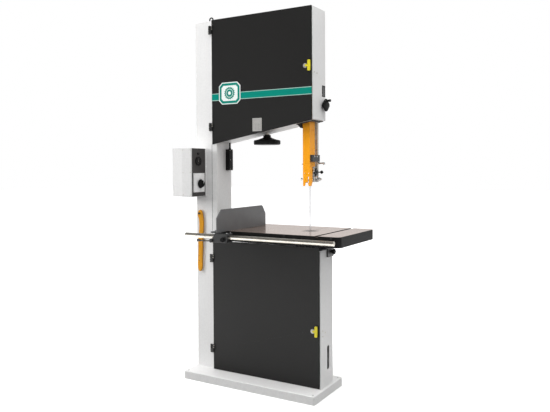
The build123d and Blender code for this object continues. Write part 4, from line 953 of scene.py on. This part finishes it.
def drive_details():
    """Bolts of the lower bearing, dark strips painted as the shade inside the motor cowl's slot openings, and
    the motor's terminal lid and blank plate.
    """
    flange = corners_mm("lower_housing")[1].y + 12
    places = bolt_circle((LOWER_HUB.x, flange, LOWER_HUB.z), 66, 4, pi / 4)
    screws("bearing_bolts", "frame", "steel", "hex", 6.5, 6, Y_AXIS, places)
    x = MOTOR_X
    # Painted shade: dark strips on the cowl stand in for the shade inside its slot openings.
    slot_shade, deep = Part(), (MOTOR_RADIUS - 0.4, MOTOR_RADIUS + 0.5)
    for index in range(36):
        slot_shade.spoke((x, 0, MOTOR_Z), -Y_AXIS, 2 * pi * index / 36, deep, 2.6, (-334, -372))
    slot_shade.finish("motor_cowl_slot_shade", "frame", "black_steel")
    top = corners_mm("motor")[1].z
    outline = cut_rectangle(x - 46.5, x + 46.5, 188.5, 281.5, 5)
    raised("terminal_lid", "frame", "motor_paint", (0, 0, top - 3), Z_AXIS, outline, 3.6, bevel=1.0)
    places = [(x + sx * 39, y, top + 0.4) for sx in (-1, 1) for y in (196, 274)]
    screws("terminal_lid_screws", "frame", "steel", "button", 3.6, 2.0, Z_AXIS, places)
    turned("motor_gland", "frame", "black_plastic", (x - 45, 235, top - 18), -X_AXIS, [
        (13, -1), (13, 7, hexagon), (12.5, 8, hexagon), (10, 9), (10, 15), (8.5, 19), (0, 19.5),
    ])
    low, high = (x + 44.8, 206, top - 32), (x + 45.7, 264, top - 8)
    block("motor_blank_plate", "frame", "label_metal", low, high, bevel=0.3)
    rivets = [(x + 45.6, y, z) for y in (209, 261) for z in (top - 29, top - 11)]
    screws("motor_plate_rivets", "frame", "steel", "rivet", 1.5, 0.7, X_AXIS, rivets)


# ------------------------------------------------------------------ handwheels and knobs

def star_profile(start, radius, thickness, shape):
    """Turned section of a moulded star grip that begins at a distance along its axis."""
    shares = ((0.60, 0.0), (0.88, 0.08), (0.985, 0.28), (1.0, 0.5), (0.985, 0.72), (0.88, 0.92))
    profile = [(radius * share, start + thickness * along, shape) for share, along in shares]
    return profile + [(radius * 0.5, start + thickness * 1.0), (0, start + thickness * 1.02)]


def height_knob():
    """Four-lobed crank knob that raises the guide post."""
    x, y, z = corners_mm("height_handwheel")[0].x, *HEIGHT_SHAFT
    part = Part()
    neck = [(0, 0.1), (12, 0.1), (13, 1.2), (12.2, 8.5)]
    part.lathe((x, y, z), X_AXIS, neck + star_profile(9.5, 38, 20, lobed(4, 0.2)), 64)
    crank = [(0, -4), (8.6, -4), (7.2, 2), (6.4, 7), (7.6, 15), (8.4, 20), (7.4, 24), (4, 25.6), (0, 26)]
    part.lathe((x + 26, y, z + 26), X_AXIS, crank, 32)
    knob = part.finish("height_knob", "height_wheel", "black_plastic", smooth=60)
    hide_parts("height_handwheel")
    profile = [(9, 0.2), (9, 1.2), (7.5, 2.0), (0, 2.2)]
    turned("height_knob_cap", "height_wheel", "black_plastic", (x + 29, y, z), X_AXIS, profile)


def tilt_star():
    """Five-lobed clamp knob of the table tilt, on its stud."""
    place = (corners_mm("tilt_knob")[0].x, *TILT_SHAFT)
    profile = [(0, 0), (6, 0), (6, 8.4), (10.5, 8.5), (11, 9.5), (10.4, 13.5)]
    profile += star_profile(14.2, 17.5, 15.5, lobed(5, 0.2))
    knob = turned("tilt_star", "tilt_knob", "black_plastic", place, X_AXIS, profile, 60, smooth=60)
    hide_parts("tilt_knob")


def selector_grip():
    """Rotary switch handle: skirt, fluted body and raised pointer bar with a white line."""
    low = corners_mm("selector_knob")[0]
    _, y, z = middle_mm("selector_knob")
    flutes = lobed(12, 0.09)
    part = Part()
    part.lathe((low.x, y, z), X_AXIS, [
        (0, 0.1), (27, 0.1), (28, 1.2), (27.4, 4.0), (24.4, 7.6), (22.6, 8.4, flutes), (22.0, 17.5, flutes),
        (20.2, 19.4, flutes), (17, 20), (0, 20.2),
    ], 72)
    bar = [
        (4.4, -17), (4.4, 17), (2.4, 20.4), (-2.4, 20.4), (-4.4, 17), (-4.4, -17),
        (-2.4, -18.6), (2.4, -18.6),
    ]
    part.prism((low.x + 18, y, z), X_AXIS, bar, 8)
    knob = part.finish("selector_grip", "selector_knob", "black_plastic", bevel=0.7)
    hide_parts("selector_knob")
    corners = (low.x + 25.9, y - 0.8, z + 2), (low.x + 26.25, y + 0.8, z + 17)
    block("selector_line", "selector_knob", "white_film", *corners)


def tension_wheel_details():
    """Grip ring and hub nut of the tension handwheel."""
    z = corners_mm("tension_handwheel")[0].z
    x, y, _ = middle_mm("tension_handwheel")
    section = ((80, 0.6), (83.6, 2.2), (84.4, 5.5), (84.4, 22.5), (83.6, 26), (80, 27.6))
    scallops = lobed(16, 0.028)
    profile = [(radius, along, scallops) for radius, along in section]
    turned(
        "tension_wheel_grip", "tension_wheel", "black_plastic", (x, y, z), Z_AXIS, profile, 128, smooth=60,
    )
    screws("tension_wheel_nut", "tension_wheel", "steel", "hex", 13, 10, -Z_AXIS, [(x, y, z + 18)])


# ------------------------------------------------------------------ blade guides

def guide_head_details():
    """Knurled sleeves, locking screws and the thrust roller's bearing face."""
    sleeves = Part()
    for place, axis, radius, length in (
        ((362.5, 79, 1275), X_AXIS, 11.6, 13), ((354.5, 54, 1289), X_AXIS, 9.6, 11),
        ((295, -3.5, 1277), -X_AXIS, 7.6, 5.4), ((302, -3.5, 1366), -X_AXIS, 4.6, 5.2),
    ):
        bevelled = [(radius * 0.86, 0), (radius, 0.9, knurled), (radius, length - 0.9, knurled)]
        sleeves.lathe(place, axis, [(0, 0), *bevelled, (radius * 0.86, length), (0, length)], 48)
    sleeves.finish("knurled_sleeves", "guide_post", "chrome")
    places = [(354, 58, 1302), (351, 48, 1340), (351, 62, 1340)]
    screws("guide_head_screws", "guide_post", "steel", "socket", 4, 3.6, X_AXIS, places)
    x, _, z = middle_mm("thrust_roller")
    place = (x, corners_mm("thrust_roller")[0].y + 0.4, z)
    turned("roller_face", "thrust_roller", "steel", place, -Y_AXIS, [
        (0, 0.1), (5.5, 0.15), (6, -0.2), (6.4, 0.2), (8.6, 0.2), (9, -0.2), (14.4, -0.2), (14.8, 0.2),
        (17.2, 0.2), (17.8, -0.4),
    ], 40)
    profile = [(9.1, -0.3), (9.1, 0.05), (14.3, 0.05), (14.3, -0.3)]
    turned("roller_seal", "thrust_roller", "rubber", place, -Y_AXIS, profile, 40)


def guard_details():
    """Folded lip and screws of the blade guard."""
    low, high = corners_mm("blade_guard")
    corners = (low.x - 1.2, low.y + 0.2, low.z + 60), (low.x + 1.2, low.y + 4, high.z - 4)
    block("guard_lip", "guide_post", "guard_paint", *corners, bevel=0.8)
    places = [(high.x, y, z) for y in (14, 40) for z in (1462, 1570)]
    screws("guard_side_screws", "guide_post", "guard_paint", "button", 3.6, 1.6, X_AXIS, places)


# ------------------------------------------------------------------ table and fence

RAIL_BOLT_X = (-130, 295, 590)


def table_details():
    """Rail bolts, rail end plugs, insert screws and the tilt scale with its pointer."""
    front, top = TABLE_LOW.y, TABLE_HIGH.z
    places = [(x, front, top - 7.5) for x in RAIL_BOLT_X]
    screws("rail_bolts", "table", "black_steel", "button", 5.2, 3.2, -Y_AXIS, places)
    low, high = corners_mm("front_rail")
    plugs = Part()
    for x, axis in ((low.x, -X_AXIS), (high.x, X_AXIS)):
        plugs.lathe((x, -270, 935), axis, [(9.6, -0.5), (9.6, 0.4), (8.8, 0.9), (0, 1.0)], 32)
    plugs.finish("rail_plugs", "table", "steel")
    low, high = corners_mm("table_insert")
    places = [(x, y, high.z - 0.35) for x, y in ((low.x + 9, low.y + 9), (high.x - 9, high.y - 9))]
    screws("insert_screws", "table_insert", "steel", "socket", 3.4, 0.6, Z_AXIS, places)
    tilt_scale()


def tilt_scale():
    """Graduated arc on the front saddle and a pointer on the trunnion, about the tilt axis."""
    x, z = LOWER_HUB.x + 320.8, TABLE_HIGH.z
    face = corners_mm("trunnion_cradle")[0].y
    inner, outer, spread = 94.5, 102.5, radians(27)

    def spot(radius, turn):
        return radius * sin(turn), -radius * cos(turn)

    steps = [spread * (index / 12 - 1) for index in range(25)]
    outline = [spot(outer, turn) for turn in steps] + [spot(inner, turn) for turn in reversed(steps)]
    raised("tilt_scale", "frame", "label_metal", (x, face + 0.2, z), -Y_AXIS, outline, 0.9)
    ticks = Part()
    for index in range(-10, 11):
        turn = radians(2.4 * index)
        reach = 5 if index % 5 == 0 else 3
        half = 0.35 / inner
        corners = [spot(inner + 0.5, turn - half), spot(inner + 0.5, turn + half),
                   spot(inner + reach, turn + half), spot(inner + reach, turn - half)]
        ticks.prism((x, face - 0.6, z), -Y_AXIS, corners, 0.25)
    ticks.finish("tilt_scale_ticks", "frame", "label_ink")
    arrow = [(-6, -66), (6, -66), (5, -84), (0, -98), (-5, -84)]
    raised("tilt_pointer", "table", "steel", (x, face + 0.2, z), -Y_AXIS, arrow, 2.2, bevel=0.4)


def fence_details():
    """Stiffening channel, clamp knobs and the carriage's fine adjuster."""
    low, high = corners_mm("fence_plate")
    back = low.x
    channel = Part()
    channel.box((back - 9, -226, 1034), (back + 0.2, high.y - 14, 1037))
    channel.box((back - 9, -226, 1059), (back + 0.2, high.y - 14, 1062))
    channel.box((back - 9, -226, 1034), (back - 6.4, high.y - 14, 1062))
    channel.finish("fence_channel", "fence", "fence_alu", bevel=0.5)
    knobs = Part()
    for z in (992, 1020):
        place = (back - 13, -266, z)
        knobs.lathe(place, -X_AXIS, [(0, 0), (6, 0), (6, 3)] + star_profile(3.5, 13, 11, lobed(6, 0.14)), 48)
    knobs.finish("fence_knobs", "fence", "black_plastic", smooth=60)
    low, high = corners_mm("fence_carriage")
    place = (high.x - 26, low.y + 0.5, low.z + 19)
    turned("fence_adjuster", "fence", "black_plastic", place, -Y_AXIS, [
        (0, 0), (7, 0), (7, 4), (13, 5, knurled), (13.6, 7, knurled), (13.6, 15, knurled),
        (12, 17), (0, 17.4),
    ], 48)
    spots = ((high.x - 12, low.y + 18), (high.x - 12, high.y - 12), (low.x + 14, high.y - 12))
    places = [(x, y, high.z) for x, y in spots]
    screws("carriage_screws", "fence", "chrome", "socket", 4.4, 3.4, Z_AXIS, places)
    corners = (high.x - 0.4, low.y + 12, high.z - 16), (high.x + 0.9, low.y + 34, high.z - 4)
    block("carriage_pointer_window", "fence", "smoked_pane", *corners, bevel=0.4)


# ------------------------------------------------------------------ controls

def enclosure_details():
    """Lid and its screws on the switchgear enclosure."""
    low, high = corners_mm("control_enclosure")
    front = low.y
    heights = (low.z + 12, (low.z + high.z) / 2, high.z - 12)
    places = [(x, front, z) for x in (-436, high.x - 8) for z in heights]
    screws("enclosure_screws", "frame", "steel", "button", 3.4, 1.8, -Y_AXIS, places)
    corners = (-442, front - 0.9, low.z + 3), (high.x - 2, front + 0.5, high.z - 3)
    block("enclosure_lid", "frame", "frame_paint", *corners, bevel=0.6)


def panel_details():
    """Dial ticks and pointer, lamp lens, selector scale and corner screws."""
    low, high = corners_mm("control_panel")
    face = high.x
    y, dial_z, lamp_z = -160, 1390, 1438
    places = [(face, py, pz) for py in (low.y + 5, high.y - 5) for pz in (low.z + 6, high.z - 6)]
    screws("panel_screws", "frame", "black_steel", "button", 2.8, 1.3, X_AXIS, places)
    floor = face + 3
    ticks = Part()
    for index in range(11):
        half = 0.9 if index % 5 == 0 else 0.5
        ticks.spoke((floor, y, dial_z), X_AXIS, radians(210 - 24 * index), (16, 21), half, (-0.3, 0.3))
    ticks.box((floor - 0.3, y - 7, dial_z - 13), (floor + 0.3, y + 7, dial_z - 11.6))
    ticks.finish("dial_ticks", "frame", "label_grey")
    pointer = Part()
    pointer.prism((floor - 0.2, y, dial_z), X_AXIS, [(-1.5, -4), (1.5, -4), (0.5, 17), (-0.5, 17)], 1.2)
    pointer.lathe((floor - 0.2, y, dial_z), X_AXIS, [(3.4, 0), (3.4, 1.8), (2.6, 2.4), (0, 2.5)])
    pointer.finish("dial_pointer", "frame", "label_grey")
    profile = [(5.0, 3.6), (5.2, 5), (4.8, 6.8), (3.2, 8.4), (0, 9.0)]
    turned("lamp_lens", "frame", "lamp_lens", (face, y, lamp_z), X_AXIS, profile, 28, smooth=60)
    _, y, z = middle_mm("selector_knob")
    low, high = corners_mm("selector_plate")
    scale = Part()
    surface = high.x
    scale.lathe((surface, y, z), X_AXIS, [(30, -0.2), (30, 0.3), (31, 0.3), (31, -0.2)], 48)
    for turn in (30, 90, 150):
        scale.spoke((surface, y, z), X_AXIS, radians(turn), (32, 38), 0.9, (-0.2, 0.3))
    scale.finish("selector_scale", "frame", "label_ink")
    places = [(surface, py, pz) for py in (low.y + 6, high.y - 6) for pz in (low.z + 6, high.z - 6)]
    screws("selector_plate_screws", "frame", "steel", "button", 2.4, 1.1, X_AXIS, places)


def interlock_switch():
    """Door interlock switch: housing with a raised lid and a gland, marker lamp and conduit up into the
    frame.
    """
    low, high = corners_mm("switch_box")
    face, bottom, top = low.x + 30, low.z + 3, low.z + 139
    case = Part()
    case.box((low.x, low.y, bottom), (face - 2, high.y, top))
    lid = cut_rectangle(low.y + 1.5, high.y - 1.5, bottom + 1.5, top - 1.5, 3)
    case.prism((face - 3, 0, 0), X_AXIS, lid, 3)
    case.lathe((low.x + 19, 45, top), Z_AXIS, [
        (9.5, -0.5), (9.5, 5, hexagon), (8.6, 6.5, hexagon), (6.6, 7), (6.4, 10), (5.2, 12), (5.0, 12),
    ])
    rise = [(low.x + 19, 45, top + 8), (low.x + 19, 45, top + 24), (low.x + 19, 45, high.z)]
    case.tube(rise, 5.0, 16)
    box = case.finish("interlock_switch", "frame", "black_plastic", bevel=0.8)
    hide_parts("switch_box")
    places = [(face, y, z) for y in (low.y + 7, high.y - 7) for z in (bottom + 8, top - 8)]
    screws("switch_screws", "frame", "steel", "button", 2.2, 1.2, X_AXIS, places)
    place, profile = (face, low.y + 15, (bottom + top) / 2), [(2.6, 0), (2.4, 0.8), (1.4, 1.5), (0, 1.7)]
    turned("switch_lamp", "frame", "lamp_lens", place, X_AXIS, profile, 16, smooth=60)


def column_seam_shade():
    """Painted shade: a dark strip in the rubber finish stands in for the shade inside the open seam where the
    column's slanted sheet meets the strip beside the doors.
    """
    corners = (-321.2, -73.3, CABINET_HIGH.z + 2), (-319.2, -72, underside(-320) - 2)
    block("column_seam_shade", "frame", "rubber", *corners)


def hinge_covers():
    """Folded edge of each door's hinge leaf, beside the pin."""
    for door, feet in HINGE_FEET.items():
        part = Part()
        for foot in feet:
            part.box((-323, HINGE_Y - 2.5, foot), (-313, HINGE_Y + 4, foot + 50))
        part.finish(f"{door}_hinge_covers", door, "black_steel", bevel=0.8)


def guide_assembly():
    """Bearing housing, front guide plate and the handle of the guard's lever."""
    turned("guide_bearing", "guide_post", "black_steel", (354.2, 61, 1319), X_AXIS, [
        (19, -0.2), (20, 0.8), (20, 6.5), (18.6, 8), (12, 8), (11, 7), (6, 7), (5.4, 8.6), (0, 8.8),
    ], 40)
    corners = (317, -12.5, 1256), (340, -10.5, 1350)
    block("guide_plate", "guide_post", "black_steel", *corners, bevel=0.6)
    turned("lever_handle", "guard_lever", "chrome", (373, 79, 1372), X_AXIS, [
        (0, 0), (4.6, 0), (4.2, 6), (4.4, 14), (5.6, 22), (6.4, 26), (5.6, 29), (3, 30.6), (0, 31),
    ])


def guard_corner_wedge():
    """Dark rubber-finished wedge in the corner between the underside and the guard."""
    top = underside(292)
    outline = [(281, top - 3), (303, top + 1), (303, top - 27)]
    raised("guard_corner_wedge", "frame", "rubber", (0, 60, 0), -Y_AXIS, outline, 96, bevel=0.8)


def sculpted_stick():
    """Push stick with a hooked grip, a hanging hole's rim and a notched nose."""
    low, high = corners_mm("push_stick")
    x, top, half = STICK_X, high.z, 6.0
    front, back = (low.y + high.y) / 2 - half, (low.y + high.y) / 2 + half
    left = ((4, 0), (-12, 8), (-18, 24), (-17, 40), (-9, 58), (-5, 90), (-6, 130), (-11, 165), (-14, 200),
            (-14, 270), (-17, 310), (-19, 350), (-18, 378), (-12, 396), (-4, 403))
    right = ((6, 400), (12, 388), (16, 360), (16, 310), (19, 260), (21, 200), (23, 150), (27, 110), (28, 80),
             (25, 50), (20, 26), (14, 8))
    outline = [(x + shift, top - drop) for shift, drop in left + right]
    stick = raised(
        "sculpted_stick", "push_stick", "stick_plastic", (0, back, 0), -Y_AXIS, outline, 2 * half,
        bevel=3.2, smooth=50,
    )
    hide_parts("push_stick")
    dots = Part()
    rim = [(5.2, -0.5), (5.2, 0.3), (3.6, 0.4), (3.4, -0.2), (0, -0.2)]
    dots.lathe((x - 9, front, top - 24), -Y_AXIS, rim)
    for drop in (300, 332):
        dots.lathe((x - 5, front, top - drop), -Y_AXIS, [(2.4, -0.5), (2.4, 0.2), (0, 0.3)], 16)
    dots.finish("stick_rivets", "push_stick", "black_steel")


def sculpted_carriage():
    """Cast fence carriage that steps down towards its clamping lever."""
    low, high = corners_mm("fence_carriage")
    outline = [
        (low.x, low.z + 4), (low.x + 3, low.z + 19), (low.x + 24, low.z + 24), (low.x + 34, high.z - 16),
        (low.x + 42, high.z), (high.x - 5, high.z), (high.x, high.z - 6), (high.x, low.z + 6),
        (high.x - 8, low.z), (low.x + 4, low.z),
    ]
    place, depth = (0, high.y, 0), high.y - low.y
    carriage = raised(
        "sculpted_carriage", "fence", "black_steel", place, -Y_AXIS, outline, depth, bevel=2.4,
    )
    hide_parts("fence_carriage")


make_camera()
make_world()
make_floor()
area_light("key", (-4.6, -2.2, 2.8), (0, 0, 1.2), 2.4, 240)
area_light("fill", (0.6, -5.5, 2.2), (0, 0, 1.2), 4.0, 76)
area_light("side", (4.2, -1.6, 2.4), (0, 0, 1.1), 2.5, 44)
area_light("overhead", (0.4, -0.4, 5.6), (0, 0, 0), 5.0, 430)
finish_nodes()

for build in (
    stripe_borders, badge, rating_plate_details, door_locks, latch_ribs, hinge_details,
    door_stiffeners, guard_seal, side_window, pinion_flange, weld_beads, column_cover,
    toothed_blade, wheel_details, drive_details, height_knob, tilt_star, selector_grip,
    tension_wheel_details, guide_head_details, guard_details, table_details, fence_details,
    enclosure_details, panel_details, interlock_switch, column_seam_shade, hinge_covers, guide_assembly,
    guard_corner_wedge, sculpted_stick, sculpted_carriage,
):
    build()

SCENE.view_settings.view_transform = "Standard"
